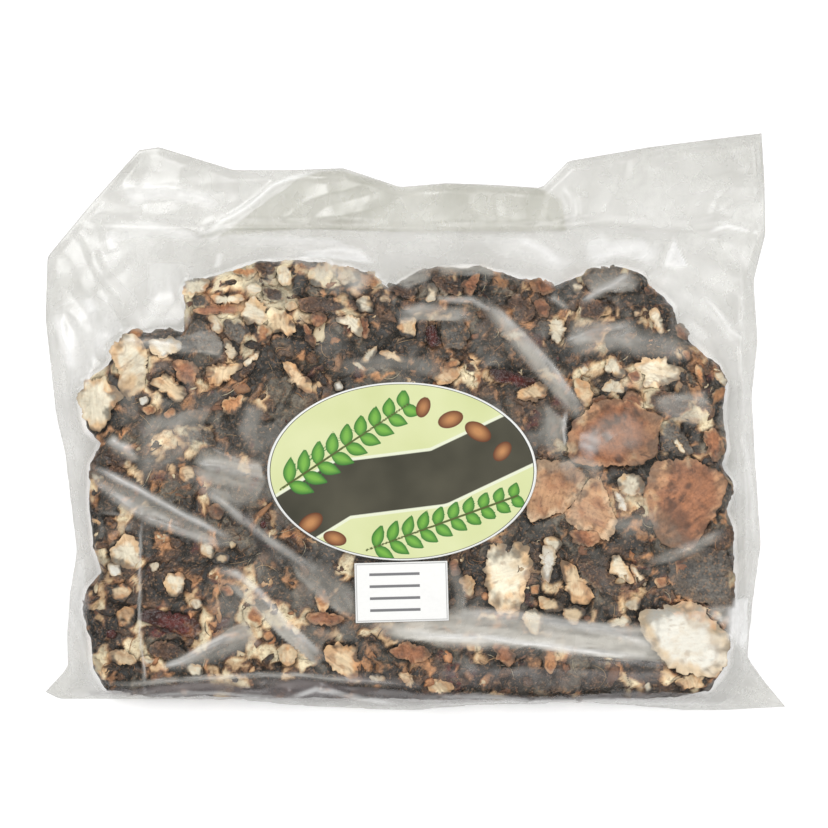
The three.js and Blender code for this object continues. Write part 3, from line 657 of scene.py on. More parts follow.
def pulp_colour(x, y):
    """Colour of the pressed fruit: sandy grey, brown and near-black pulp, on which patches of skin
    go from rust at their torn edge through tan to cream, and bits of rind lie. It darkens in its
    grooves as painted shade, less so on the pale skin."""
    wx, wy = torn(x, y)
    red = shares(x, y)[2]
    skin, rind = skin_cover(x, y), rind_cover(x, y)
    colour = blend(BLACK_PULP[None], GREY_PULP, ease(clouds(wx, wy, 9, 11, 3), -0.3, 0.35))
    colour = blend(colour, BROWN_PULP, 0.8 * ease(clouds(wx, wy, 6, 12, 3), -0.05, 0.4))
    colour = blend(colour, RED_FLESH, ease(clouds(wx, wy, 6, 16, 2) + red - 0.5, 0, 0.2))
    colour = blend(colour, RUST_RIND, 0.85 * ease(skin, -0.18, -0.02))
    colour = blend(colour, ORANGE_RIND, 0.8 * ease(rind, -0.04, 0.12))
    colour = blend(colour, TAN_SKIN, 0.9 * ease(skin, -0.03, 0.08))
    colour = blend(colour, CREAM_SKIN, ease(skin, 0.06, 0.24))
    pale = ease(skin, -0.05, 0.1)
    grain = 1 + (0.5 - 0.4 * pale) * clouds(x, y, 1.6, 15, 2) + 0.5 * clouds(x, y, 6, 17, 2)
    # Painted shade: darker where the relief sinks into grooves, less so on pale skin.
    groove = 0.06 + 0.94 * ease(fruit_relief(x, y), -2.0, 0.3)
    return colour * np.maximum(grain * (groove + (1 - groove) * 0.45 * pale), 0.05)[:, None]


def bed_colour(x, y):
    """Colour of the bed, which darkens close round the outlined pieces as painted shadow."""
    return pulp_colour(x, y) * (1 - 0.4 * ease(on_pieces(x, y), -1.0, -0.1))[:, None]


BED_ROWS, BED_COLUMNS = 229, 345
RIM_WAVE = 1.3  # how far the bed's edge strays from its outline


def fruit_bed():
    """The bed as a Coons grid raised by its height, with a coarser one under it that rests on the
    lower web in low lumps."""
    plan = coons(*fruit_edges, BED_ROWS, BED_COLUMNS)
    plan = plan + RIM_WAVE * np.stack([clouds(*np.moveaxis(plan, 2, 0), 4, seed, 3)
                                       for seed in (18, 19)], -1)
    x, y = plan[..., 0].ravel(), plan[..., 1].ravel()
    z = np.maximum(fruit_height(x, y), FLOOR + 0.6)
    below = plan[::UNDER_STEP, ::UNDER_STEP]
    bx, by = below[..., 0].ravel(), below[..., 1].ravel()
    bz = FLOOR + 1.1 * ease(-fruit_relief(bx + 40, by - 25), 0.2, 2.2)
    bz[rim_of(*below.shape[:2])] = FLOOR
    colour = np.concatenate([bed_colour(x, y), pulp_colour(bx + 40, by - 25)])
    return build("pulp", *two_layers(plan, z, bz), "pulp", ["pulp_bed"], tone=colour)


LABEL_LIFT = 1.15  # how far the label's bed stands over the level of the fruit


def kept_low(points):
    """Corners of fruit, let down where they would come through the label."""
    x, y, z = points[..., 0], points[..., 1], points[..., 2]
    free = 6 * ease(label_reach(x, y), 1.04, 1.3)
    low = np.minimum(z, fruit_level(y) + LABEL_LIFT - 0.3 + free)
    return np.stack([x, y, low], -1)


# Small bits of fruit strewn over the bed

KINDS = {
    # kind: (middle colour, rim colour, thickness, crinkle, slot)
    "cream": (CREAM_SKIN, linear(206, 160, 108), 0.7, 0.22, "membrane"),
    "tan": (TAN_SKIN, linear(164, 104, 66), 0.8, 0.22, "membrane"),
    "orange": (ORANGE_RIND, linear(160, 96, 56), 0.8, 0.22, "rind"),
    "rust": (RUST_RIND, linear(96, 62, 44), 0.8, 0.22, "rind"),
    "dark": (BLACK_PULP, BROWN_PULP, 1.4, 0.3, "pulp"),
    "brown": (BROWN_PULP, linear(120, 88, 64), 1.3, 0.28, "pulp"),
    "red": (RED_FLESH, linear(52, 18, 14), 1.2, 0.2, "flesh"),
}
SCATTER_PITCH = 4.9  # spacing of the bits
SCATTER_SEED = 41
BIT_SIDES, BIT_RINGS = 9, (0.55, 1.0)


def kind_at(random, cream, orange, red):
    """Draws a kind of fruit by the three shares at a place."""
    draw = random.random()
    if draw < 0.42 * cream:
        return "cream" if random.random() < 0.6 else "tan"
    if draw < 0.42 * cream + 0.5 * orange:
        return "orange" if random.random() < 0.45 else "rust"
    if draw < 0.42 * cream + 0.5 * orange + 0.5 * red:
        return "red"
    return "dark" if random.random() < 0.5 else "brown"


def scattered_bits(random):
    """Seeded small pieces on a jittered lattice, as rows of numbers by kind: place, width,
    length, turn, how proud each stands, and its lean along X and Y."""
    rows = {kind: [] for kind in KINDS}
    low, high = fruit_outline.min(0), fruit_outline.max(0)
    columns = np.arange(low[0], high[0], SCATTER_PITCH)
    lines = np.arange(low[1], high[1], SCATTER_PITCH)
    x, y = (axis.ravel() for axis in np.meshgrid(columns, lines))
    x = x + random.uniform(-0.5, 0.5, len(x)) * SCATTER_PITCH
    y = y + random.uniform(-0.5, 0.5, len(y)) * SCATTER_PITCH
    kept = (beyond_fruit(x, y) < -0.4) & (label_reach(x, y) > 0.85) & (on_pieces(x, y) < -0.3)
    x, y = x[kept], y[kept]
    rooms = 1.6 * -beyond_fruit(x, y)
    for px, py, room, *drawn in zip(x, y, rooms, *shares(x, y)):
        width = np.clip(random.lognormal(1.25, 0.5), 1.4, min(9, room + 1.5))
        length = width * random.uniform(0.22, 0.8)
        turn, proud = random.uniform(0, np.pi), random.uniform(-0.5, 0.4)
        lean = random.normal(0, 0.5 / width, 2)
        rows[kind_at(random, *drawn)].append((px, py, width, length, turn, proud, *lean))
    return rows


def disc_faces(rings, sides):
    """Triangles of one closed disc: a hub, rings and a rim above, and the same below."""
    upper = grid_faces(rings, sides, around=True) + 1
    side = np.arange(sides)
    after = (side + 1) % sides
    below = 1 + rings * sides
    hub = np.zeros(sides, int)
    rim = 1 + (rings - 1) * sides
    edge, edge_below = rim + side, below + rim + side
    last, last_below = rim + after, below + rim + after
    return np.concatenate([
        np.stack([hub, 1 + side, 1 + after], -1),
        upper[:, ::-1],
        np.stack([hub + below, below + 1 + after, below + 1 + side], -1),
        upper + below,
        np.stack([edge, edge_below, last_below], -1),
        np.stack([edge, last_below, last], -1),
    ])


def bits(kind, rows, seed):
    """Many small closed shards at once. Each outline is 1 + the sum of a cos(kt + p) over a few
    waves k, with jittered corners. Each shard is rolled up or down by a curl a u² + b v²,
    crinkled at random, and leans with the bed."""
    middle, rim, thickness, crinkle, slot = KINDS[kind]
    random = np.random.default_rng(seed)
    x, y, width, length, turn, proud, lean_x, lean_y = np.array(rows).T
    count = len(rows)
    angle = np.linspace(0, 2 * np.pi, BIT_SIDES, endpoint=False)[None]
    angle = angle + random.uniform(-0.25, 0.25, (count, BIT_SIDES)) * 2 * np.pi / BIT_SIDES
    reach = random.uniform(0.75, 1.04, (count, BIT_SIDES))
    for wave in (1, 2, 3, 4):
        phase = random.uniform(0, 2 * np.pi, (count, 1))
        swing = random.uniform(0, 0.34 / wave**0.5, (count, 1))
        reach = reach + swing * np.cos(wave * angle + phase)
    reach = np.clip(reach, 0.35, 1.35)
    share = np.array(BIT_RINGS)[:, None]
    u = np.zeros((count, 1 + len(BIT_RINGS) * BIT_SIDES))
    v = np.zeros_like(u)
    out = np.concatenate([[0.0], np.repeat(BIT_RINGS, BIT_SIDES)])[None]
    u[:, 1:] = (share * (reach * np.cos(angle))[:, None]).reshape(count, -1)
    v[:, 1:] = (share * (reach * np.sin(angle))[:, None]).reshape(count, -1)
    size = np.minimum(width, length)[:, None]
    curl_u = random.uniform(-0.16, 0.24, (count, 1)) * size
    curl_v = random.uniform(-0.16, 0.24, (count, 1)) * size
    thick = np.minimum(thickness, 0.35 * size)
    middle_line = -curl_u * u * u - curl_v * v * v
    middle_line = middle_line + random.normal(0, crinkle, u.shape) * np.minimum(1, size / 3)
    taper = thick * (0.5 - 0.32 * out**2)
    u, v = u * width[:, None] / 2, v * length[:, None] / 2
    cos, sin = np.cos(turn)[:, None], np.sin(turn)[:, None]
    px = x[:, None] + u * cos - v * sin
    py = y[:, None] + u * sin + v * cos
    fall = bed_level(px.ravel(), py.ravel())[0].reshape(px.shape) - bed_level(x, y)[0][:, None]
    base = (fruit_height(x, y) + proud)[:, None] + fall + lean_x[:, None] * (px - x[:, None])
    base = base + lean_y[:, None] * (py - y[:, None]) + middle_line
    points = np.concatenate([
        np.stack([px, py, np.maximum(base + taper, FLOOR + 1)], -1),
        np.stack([px, py, np.maximum(base - taper, FLOOR + 0.2)], -1),
    ], 1)
    shade = random.uniform(0.55, 1.1, (count, 1, 1))
    way = random.uniform(0, 2 * np.pi, (count, 1))
    # Towards its rim each bit takes its rim colour, and along one side too, as painted shading.
    side = ease(u * np.cos(way) + v * np.sin(way), -0.15 * width[:, None], 0.45 * width[:, None])
    to_rim = np.maximum(ease(out, 0.4, 1) * random.uniform(0.1, 1, (count, 1)), 0.8 * side)
    colour = (middle * (1 - to_rim[..., None]) + rim * to_rim[..., None]) * shade
    colour = colour * random.uniform(0.7, 1.15, u.shape)[..., None]
    # The undersides are the colour darkened to 0.7, as painted shade.
    colour = np.concatenate([colour, colour * 0.7], 1)
    faces = disc_faces(len(BIT_RINGS), BIT_SIDES)
    all_faces = faces[None] + points.shape[1] * np.arange(count)[:, None, None]
    points, colour = kept_low(points.reshape(-1, 3)), colour.reshape(-1, 3)
    return build(f"{kind}_bits", points, all_faces.reshape(-1, 3), slot, tone=colour)


# The outlined pieces

FINISHES = {
    # finish: (colours of the middle, of its side that is darker with stains and painted shade, of
    #          the rim and of the creases and dirt, where the creases' darkening is painted shade,
    #          wrinkle height, thickness, fringe, how streaky, how blotchy, how far its rim merges
    #          into the mass, slot)
    "rind": ((176, 118, 82), (108, 72, 52), (214, 164, 122), (58, 36, 26), 0.34, 0.9, 0.03, 0.2,
        1.0, 0.55, "rind"),
    "pale_rind": ((212, 164, 122), (176, 120, 84), (240, 210, 172), (100, 66, 42), 0.36, 0.9, 0.04,
        0.18, 0.7, 0.5, "rind"),
    "orange": ((214, 154, 104), (158, 98, 62), (236, 200, 154), (96, 56, 32), 0.3, 0.8, 0.04, 0.18,
        0.7, 0.8, "rind"),
    "bark": ((92, 66, 50), (50, 39, 33), (124, 90, 66), (28, 22, 20), 0.4, 1.2, 0.03, 0.22, 0.7,
        0.8, "pulp"),
    "slate": ((108, 102, 94), (66, 60, 54), (112, 96, 80), (36, 32, 30), 0.3, 1.2, 0.02, 0.1, 0.6,
        0.7, "pulp"),
    "cream": ((250, 240, 214), (226, 190, 142), (226, 182, 130), (128, 88, 56), 0.2, 0.6, 0.06,
        0.16, 0.4, 0.7, "membrane"),
    "white": ((247, 244, 232), (222, 202, 170), (226, 196, 152), (150, 120, 88), 0.2, 0.6, 0.04,
        0.07, 0.35, 0.5, "membrane"),
    "tan": ((238, 212, 172), (196, 142, 94), (222, 172, 118), (104, 68, 42), 0.22, 0.7, 0.06, 0.18,
        0.6, 0.8, "membrane"),
    "flesh": ((92, 28, 22), (40, 16, 12), (66, 24, 18), (24, 10, 8), 0.45, 1.6, 0.02, 0.12, 0.6,
        0.4, "flesh"),
}


def reach_of(outline, centre, angle):
    """How far an outline lies from a centre in each direction: where the ray that way meets a
    side a + s(b - a), t = (a x b) / (ray x (b - a)), the farthest such place."""
    cos, sin = np.cos(angle), np.sin(angle)
    reach = np.zeros(angle.shape)
    for (ax, ay), (bx, by) in zip(outline - centre, np.roll(outline, -1, axis=0) - centre):
        across = cos * (by - ay) - sin * (bx - ax)
        across = np.where(np.abs(across) < 1e-9, 1e-9, across)
        t = (ax * (by - ay) - ay * (bx - ax)) / across
        s = (ax * sin - ay * cos) / across
        reach = np.where((s > -1e-6) & (s < 1 + 1e-6) & (t > reach), t, reach)
    return reach


def middle_of(outline):
    """The middle of an outline's area."""
    x, y = outline.T
    after_x, after_y = np.roll(x, -1), np.roll(y, -1)
    weight = x * after_y - after_x * y
    return np.array([((x + after_x) * weight).sum(), ((y + after_y) * weight).sum()]) / (
        3 * weight.sum())


def shard(outline, finish, seed, level):
    """One closed piece of fruit in an outline: rings towards its middle, on the level that a
    function gives, with lumps, wrinkles that run out to the rim and creases where slow noise
    crosses 0. It leans, and along parts of its thin ragged rim its colour goes over to that of
    the mass."""
    *tones, wrinkle, thickness, fringe, streaky, blotchy, merging, _ = FINISHES[finish]
    middle_tone, stain_and_side_shade_tone, rim_tone, crease_tone = (linear(*tone) for tone in tones)
    random = np.random.default_rng(seed)
    centre = middle_of(outline)
    size = np.hypot(*(outline - centre).T).max()
    sides, rings = int(np.clip(12 * size, 32, 130)), int(np.clip(2.8 * size, 6, 28))
    angle = np.linspace(-np.pi, np.pi, sides, endpoint=False)
    reach = reach_of(outline, centre, angle)
    for _ in range(2 + sides // 30):
        reach = (np.roll(reach, 1) + 2 * reach + np.roll(reach, -1)) / 4
    rim_x, rim_y = np.cos(angle) * size, np.sin(angle) * size
    reach = reach * 1.07 + min(1.5, 0.24 * size) * clouds(rim_x, rim_y, 2.4, seed + 1, 4)
    frayed = ease(clouds(rim_x, rim_y, 5, seed + 2), -0.1, 0.4)
    share = (np.arange(1, rings + 1) / rings)[:, None]
    share = share * (1 - share**8 * np.abs(random.normal(0, fringe, sides)) * frayed)
    u = np.concatenate([[0], (share * reach * np.cos(angle)).ravel()])
    v = np.concatenate([[0], (share * reach * np.sin(angle)).ravel()])
    out = np.concatenate([[0], np.repeat(np.arange(1, rings + 1) / rings, sides)])
    x, y = centre[0] + u, centre[1] + v

    turn, way, low_way = random.uniform(0, 2 * np.pi, 3)
    along, aside = u * np.cos(turn) + v * np.sin(turn), v * np.cos(turn) - u * np.sin(turn)
    spokes = clouds(np.arctan2(v, u) * 6 + 40, out * 1.2, 1, seed + 3, 2) * ease(out, 0.2, 0.8)
    lumps = clouds(u, v, max(2.2, size / 2.2), seed + 4, 3)
    grain = clouds(u, v, 0.8, seed + 5, 2)
    strings = clouds(along, aside * 7, 3.5, seed + 6, 2)
    crease = np.exp(-((clouds(u, v, max(3, size / 1.6), seed + 7, 2) / 0.06) ** 2))
    low_side = (u * np.cos(low_way) + v * np.sin(low_way)) / size
    relief = wrinkle * min(1, size / 5) * (0.8 * spokes + 2.0 * lumps + 0.5 * grain - 0.5 * crease)
    lean = -min(0.9, 0.16 * size) * low_side + min(0.5, 0.07 * size) * (2 * out**2 - 1)
    half = thickness / 2 * np.sqrt(np.clip(1.05 - out**4, 0, 1))
    middle_line = level(x, y) + relief + lean
    points = np.concatenate([
        np.stack([x, y, middle_line + half], -1), np.stack([x, y, middle_line - half], -1),
    ])

    # One side goes over to the stain colour as painted shade; the blotches are stains.
    side = (u * np.cos(way) + v * np.sin(way)) / size + 0.8 * lumps
    stain_and_side_shade = np.maximum(0.85 * ease(side, 0.15, 0.75),
                       blotchy * ease(clouds(along, aside * 1.6, 4, seed + 10, 4), -0.05, 0.5))
    colour = blend(middle_tone[None], stain_and_side_shade_tone, stain_and_side_shade)
    colour = blend(colour, rim_tone, 0.8 * ease(out + 0.5 * lumps, 0.6, 0.95) * (1 - 0.5 * stain_and_side_shade))
    # Dark streaks are dirt; the darkening along the creases is painted shade.
    dirt_and_crease_shade = ease(clouds(along, aside * 2.2, 2.4, seed + 8, 4), 0.16, 0.55)
    dirt_and_crease_shade = dirt_and_crease_shade * ease(clouds(u, v, 6, seed + 9), -0.3, 0.4)
    dirt_and_crease_shade = np.maximum((0.25 + 0.5 * blotchy) * dirt_and_crease_shade, 0.35 * crease * ease(out, 0.15, 0.5))
    colour = blend(colour, crease_tone, dirt_and_crease_shade)
    little = ease(size, 7, 3)
    buried = out + 0.3 * low_side + (0.6 + 0.2 * little) * clouds(u, v, 3.2, seed + 11, 3)
    buried = ease(buried, 0.62 - 0.15 * little, 1.02 - 0.1 * little)
    colour = blend(colour, pulp_colour(x, y), np.minimum(merging * (1 + 0.3 * little), 1) * buried)
    shade = 1 + streaky * (1.3 * lumps + 1.1 * strings + 0.4 * grain + 0.7 * spokes)
    shade = shade * random.uniform(0.84, 1.06) * (1 - 0.2 * little)
    colour = np.clip(colour * shade[:, None], 0.002, 1)
    # The underside is the colour darkened to 0.7, as painted shade.
    return kept_low(points), disc_faces(rings, sides), np.concatenate([colour, colour * 0.7])


def solid_level(node):
    """The bend of a flake's solid: the paraboloid that fits its corners best, kept between its
    lowest and highest."""
    corners = corners_of(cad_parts[node])

    def terms(x, y):
        u, v = x - corners[:, 0].mean(), y - corners[:, 1].mean()
        return np.stack([np.ones(u.shape), u, v, u * u, v * v, u * v], -1)

    bend = np.linalg.lstsq(terms(*corners[:, :2].T), corners[:, 2], rcond=None)[0]
    low, high = corners[:, 2].min() + 0.4, corners[:, 2].max() - 0.4
    return lambda x, y: np.clip(terms(x, y) @ bend, low, high)


def flake(node, seed):
    """A finer piece in the place of a flake's solid."""
    finish, outline = flakes[node]
    points, faces, colour = shard(outline, finish, seed, solid_level(node))
    return build(f"fine_{node}", points, faces, FINISHES[finish][-1], [node], tone=colour)


def on_bed(proud):
    """A level that stands over the bed's own, and bends half as much as that does."""
    def level(x, y):
        height = bed_level(x, y)[0]
        return 0.6 * height + 0.4 * height.max() + proud
    return level


def outlined_pieces(finish, seed):
    """All the pieces of one finish that the photograph shows and that have no solid, joined."""
    random = np.random.default_rng(seed)
    parts, start = [], 0
    for number, ((named, _), outline) in enumerate(zip(PIECES, piece_outlines)):
        if named == finish:
            level = on_bed(random.uniform(-0.5, 0.3))
            points, faces, colour = shard(outline, finish, seed + 10 * number, level)
            parts.append((points, faces + start, colour))
            start += len(points)
    points, faces, colour = (np.concatenate(group) for group in zip(*parts))
    return build(f"{finish}_pieces", points, faces, FINISHES[finish][-1], tone=colour)


# Loose fibres

FIBRES = 260


def fibres(height):
    """Thin strings of fruit: tubes of three sides along short curved paths on the bed, thinning
    to nothing at both ends."""
    random = np.random.default_rng(77)
    low, high = fruit_outline.min(0), fruit_outline.max(0)
    spots = random.uniform(low, high, (FIBRES * 2, 2))
    kept = inside(*spots.T, fruit_outline) & (label_reach(*spots.T) > 1.05)
    kept &= beyond_fruit(*spots.T) < -5
    spots = spots[kept][:FIBRES]
    count, steps, sides = len(spots), 9, 3
    along = np.linspace(-0.5, 0.5, steps)[None]
    length = random.uniform(2, 9, (count, 1))
    turn, bow = random.uniform(0, np.pi, (count, 1)), random.normal(0, 0.35, (count, 1))
    u, v = length * along, length * bow * (along**2 * 4 - 0.5)
    x = spots[:, :1] + u * np.cos(turn) - v * np.sin(turn)
    y = spots[:, 1:] + u * np.sin(turn) + v * np.cos(turn)
    z = height(x.ravel(), y.ravel()).reshape(x.shape) + 0.35
    radius = random.uniform(0.08, 0.18, (count, 1)) * np.sqrt(1.02 - (2 * along) ** 2)
    way = turn + np.pi / 2
    around = np.linspace(0, 2 * np.pi, sides, endpoint=False)
    ring = [np.stack([x + radius * np.cos(a) * np.cos(way), y + radius * np.cos(a) * np.sin(way),
                      z + radius * np.sin(a)], -1) for a in around]
    points = np.stack(ring, 2).reshape(-1, 3)
    first, last = np.arange(sides), np.arange(sides) + (steps - 1) * sides
    faces = np.concatenate([grid_faces(steps, sides, around=True), [first[::-1], last]])
    faces = (faces[None] + steps * sides * np.arange(count)[:, None, None]).reshape(-1, 3)
    shades = np.array([TAN_SKIN, ORANGE_RIND, BROWN_PULP, CREAM_SKIN, BLACK_PULP])
    colour = 0.7 * shades[random.integers(0, len(shades), count)]
    colour = np.repeat(colour, steps * sides, axis=0)
    return build("loose_fibres", points, faces, "membrane", tone=colour)


# The film as a taut sheet over what it holds

RASTER_STEP = 1.0
raster_x = np.arange(-126, 126.01, RASTER_STEP)
raster_y = np.arange(-99, 99.01, RASTER_STEP)
plane_x, plane_y = np.meshgrid(raster_x, raster_y)


def sample(raster, x, y):
    """A raster's value at any place, blended between its four nearest cells."""
    u = np.clip((x - raster_x[0]) / RASTER_STEP, 0, len(raster_x) - 1.001)
    v = np.clip((y - raster_y[0]) / RASTER_STEP, 0, len(raster_y) - 1.001)
    i, j = u.astype(int), v.astype(int)
    s, t = u - i, v - j
    near = raster[j, i] * (1 - s) + raster[j, i + 1] * s
    far = raster[j + 1, i] * (1 - s) + raster[j + 1, i + 1] * s
    return near * (1 - t) + far * t


def stamp(raster, points):
    """Raises the raster to the corners that stand over it."""
    i = np.clip(np.rint((points[:, 0] - raster_x[0]) / RASTER_STEP), 0, len(raster_x) - 1)
    j = np.clip(np.rint((points[:, 1] - raster_y[0]) / RASTER_STEP), 0, len(raster_y) - 1)
    np.maximum.at(raster, (j.astype(int), i.astype(int)), points[:, 2])


def widened(raster):
    """Each cell takes the highest of itself and its four neighbours."""
    wide = raster.copy()
    wide[1:] = np.maximum(wide[1:], raster[:-1])
    wide[:-1] = np.maximum(wide[:-1], raster[1:])
    wide[:, 1:] = np.maximum(wide[:, 1:], raster[:, :-1])
    wide[:, :-1] = np.maximum(wide[:, :-1], raster[:, 1:])
    return wide


WEB_LOW = 0.5  # height of the upper web where it lies on the lower one
TAUTENING = 1400


def taut_sheet(top):
    """The upper web: a sheet pinned round the outline and above the seal, let down until each
    place is the mean of its neighbours or rests on the fruit. Under the label it is stiff."""
    held = inside(plane_x, plane_y, film_outline) & (plane_y < SEAL_Y)
    rest = np.maximum(np.where(held, widened(top) + CLEARANCE, WEB_LOW), WEB_LOW)
    stiff = 1 - ease(label_reach(plane_x, plane_y), 0.98, 1.12)
    flat = fruit_level(plane_y) + LABEL_LIFT
    sheet = rest.copy()
    for _ in range(TAUTENING):
        mean = (sheet[1:-1, :-2] + sheet[1:-1, 2:] + sheet[:-2, 1:-1] + sheet[2:, 1:-1]) / 4
        inner = np.maximum(rest[1:-1, 1:-1], mean)
        inner = inner * (1 - stiff[1:-1, 1:-1]) + flat[1:-1, 1:-1] * stiff[1:-1, 1:-1]
        sheet[1:-1, 1:-1] = np.where(held[1:-1, 1:-1], inner, WEB_LOW)
    return sheet, rest


# Folds in the film that the photograph shows: half width in pixels, height in millimetres, how
# milky it looks, partly haze and partly painted reflection, how strong its painted highlight is,
# and pixels along the fold
FOLDS = [
    (6, 0.5, 0.5, 0.1, [398, 318, 425, 312, 470, 316]),
    (3, 0.7, 0.5, 0.5, [434, 300, 470, 300, 500, 318]),
    (3, 0.6, 0.6, 0.5, [484, 300, 520, 334, 549, 366, 583, 416]),
    (4, 0.9, 0.5, 0.6, [575, 302, 600, 292, 634, 274]),
    (5, 0.9, 0.5, 0.35, [561, 346, 590, 334, 634, 326]),
    (8, 0.4, 0.4, 0.1, [566, 350, 610, 345, 650, 340]),
    (3, 0.6, 0.4, 0.2, [548, 295, 566, 310]),
    (7, 0.8, 0.3, 0.6, [583, 264, 617, 252, 651, 244]),
    (4, 0.7, 0.3, 0.7, [676, 240, 667, 265, 685, 266]),
    (8, 0.9, 0.3, 0.2, [118, 190, 170, 186, 222, 205]),
    (4.5, 0.6, 0.3, 0.4, [105, 226, 150, 226, 198, 236]),
    (7, 0.5, 0.3, 0.5, [110, 230, 114, 252]),
    (6, 0.9, 0.3, 0.9, [55, 312, 66, 340, 76, 372]),
    (6, 0.5, 0.3, 0.7, [86, 296, 92, 312]),
    (5, 0.5, 0.3, 0.4, [104, 330, 106, 360]),
    (3, 0.7, 0.4, 0.1, [60, 300, 66, 380, 78, 450]),
    (3.5, 1.0, 0.55, 0.7, [92, 465, 142, 488, 190, 514, 238, 538]),
    (4, 0.8, 0.55, 0.3, [98, 484, 152, 517, 212, 538, 238, 538]),
    (7, 0.3, 0.35, 0.0, [96, 474, 150, 502, 205, 526]),
    (5, 0.9, 0.5, 0.5, [110, 437, 124, 447, 142, 455]),
    (4, 0.9, 0.5, 0.4, [194, 480, 226, 501, 260, 530, 320, 571]),
    (3, 0.6, 0.5, 0.3, [196, 462, 230, 468, 266, 476]),
    (2, 0.7, 0.5, 0.2, [212, 448, 245, 461, 268, 468]),
    (3.5, 0.7, 0.6, 0.6, [214, 563, 240, 571, 262, 589, 290, 622, 328, 655]),
    (3, 0.6, 0.6, 0.5, [160, 666, 200, 650, 241, 628]),
    (2.5, 0.8, 0.5, 0.3, [96, 680, 200, 675, 295, 669, 420, 683]),
    (3, 0.9, 0.5, 0.7, [284, 697, 316, 684, 402, 704]),
    (10, 0.3, 0.6, 0.1, [318, 268, 345, 276, 372, 290]),
    (4, 0.7, 0.6, 0.5, [455, 612, 520, 612, 600, 622, 652, 640]),
    (2.5, 0.5, 0.5, 0.6, [400, 628, 480, 634, 570, 644, 640, 652]),
    (15, 0.5, 0.2, 0.02, [400, 622, 480, 630, 570, 640, 650, 652]),
    (3, -0.4, 0.0, 0.0, [480, 652, 560, 660, 654, 666]),
    (3, 0.7, 0.5, 0.35, [420, 690, 520, 697, 640, 699, 720, 700]),
    (2, 0.4, 0.4, 0.4, [420, 704, 520, 701, 640, 703, 740, 702]),
    (2, 0.5, 0.5, 0.5, [120, 694, 200, 690, 290, 694]),
    (2, 0.9, 0.4, 0.2, [743, 250, 741, 400, 745, 640]),
    (7, 0.6, 0.3, 0.85, [728, 602, 727, 640]),
    (1.5, 0.5, 0.5, 0.7, [562, 408, 561, 430, 563, 448]),
    (3, 1.1, 0.3, 0.55, [200, 238, 273, 185, 318, 171]),
    (1.4, 0.4, 0.5, 0.55, [146, 505, 146, 600, 147, 703]),
    (1.0, 0.4, 0.4, 0.2, [95, 512, 146, 512]),
    (4, 0.9, 0.4, 0.2, [575, 225, 572, 200, 565, 185]),
    (9, 0.5, 0.2, 0.45, [583, 250, 600, 246, 612, 240]),
    (5, 0.5, 0.3, 0.5, [520, 238, 545, 252, 560, 268]),
    (7, 0.4, 0.2, 0.4, [642, 250, 650, 262]),
    (2, 0.5, 0.3, 0.6, [712, 232, 728, 226, 752, 230]),
    (3, 0.6, 0.3, 0.6, [222, 254, 218, 268]),
    (3, 0.6, 0.4, 0.6, [300, 256, 330, 251, 358, 252, 372, 262]),
    (5, 0.4, 0.5, 0.1, [270, 262, 320, 258]),
    (4, 0.8, 0.4, 0.25, [700, 290, 730, 330, 748, 345]),
    (3, 0.9, 0.3, 0.3, [735, 420, 748, 470, 752, 540]),
    (4, 0.8, 0.4, 0.2, [60, 600, 86, 640, 96, 690]),
    (5, 0.5, 0.4, 0.0, [640, 560, 690, 545, 722, 530]),
    (10, 0.5, 0.4, 0.0, [590, 338, 640, 345, 690, 352]),
    (7, 0.5, 0.45, 0.3, [598, 430, 606, 440]),
    (5, 0.4, 0.35, 0.0, [556, 470, 580, 462, 600, 470]),
    (7, 0.4, 0.3, 0.0, [330, 372, 390, 362, 450, 372]),
    (8, 0.4, 0.35, 0.0, [258, 400, 250, 430, 262, 455]),
    (8, 0.5, 0.4, 0.0, [310, 575, 345, 590, 352, 615]),
    (5, 0.5, 0.35, 0.0, [450, 560, 462, 590, 456, 615]),
    (4, 0.5, 0.5, 0.15, [120, 340, 165, 344, 200, 352]),
]
SEAL_LINE = [104, 223, 187, 228, 200, 236, 228, 228, 340, 228, 420, 232, 553, 231, 575, 226,
    610, 224, 689, 231, 719, 226, 752, 230]

# Colours of the film, as on a screen. The haze grey also serves for painted reflections, the glint
# white is a painted highlight, and the hem greys and the shade brown are painted shade.
CLEAR_GREY = linear(150, 149, 139)
DOUBLED_GREY = linear(146, 145, 128)
HAZE_AND_SHEEN_GREY = linear(206, 202, 192)
HEM_SHADE_GREY = linear(106, 98, 98)
HEM_HALF_SHADE_GREY = linear(150, 142, 139)
SHADE_BROWN = linear(52, 46, 42)
GLINT_WHITE = linear(252, 252, 251)
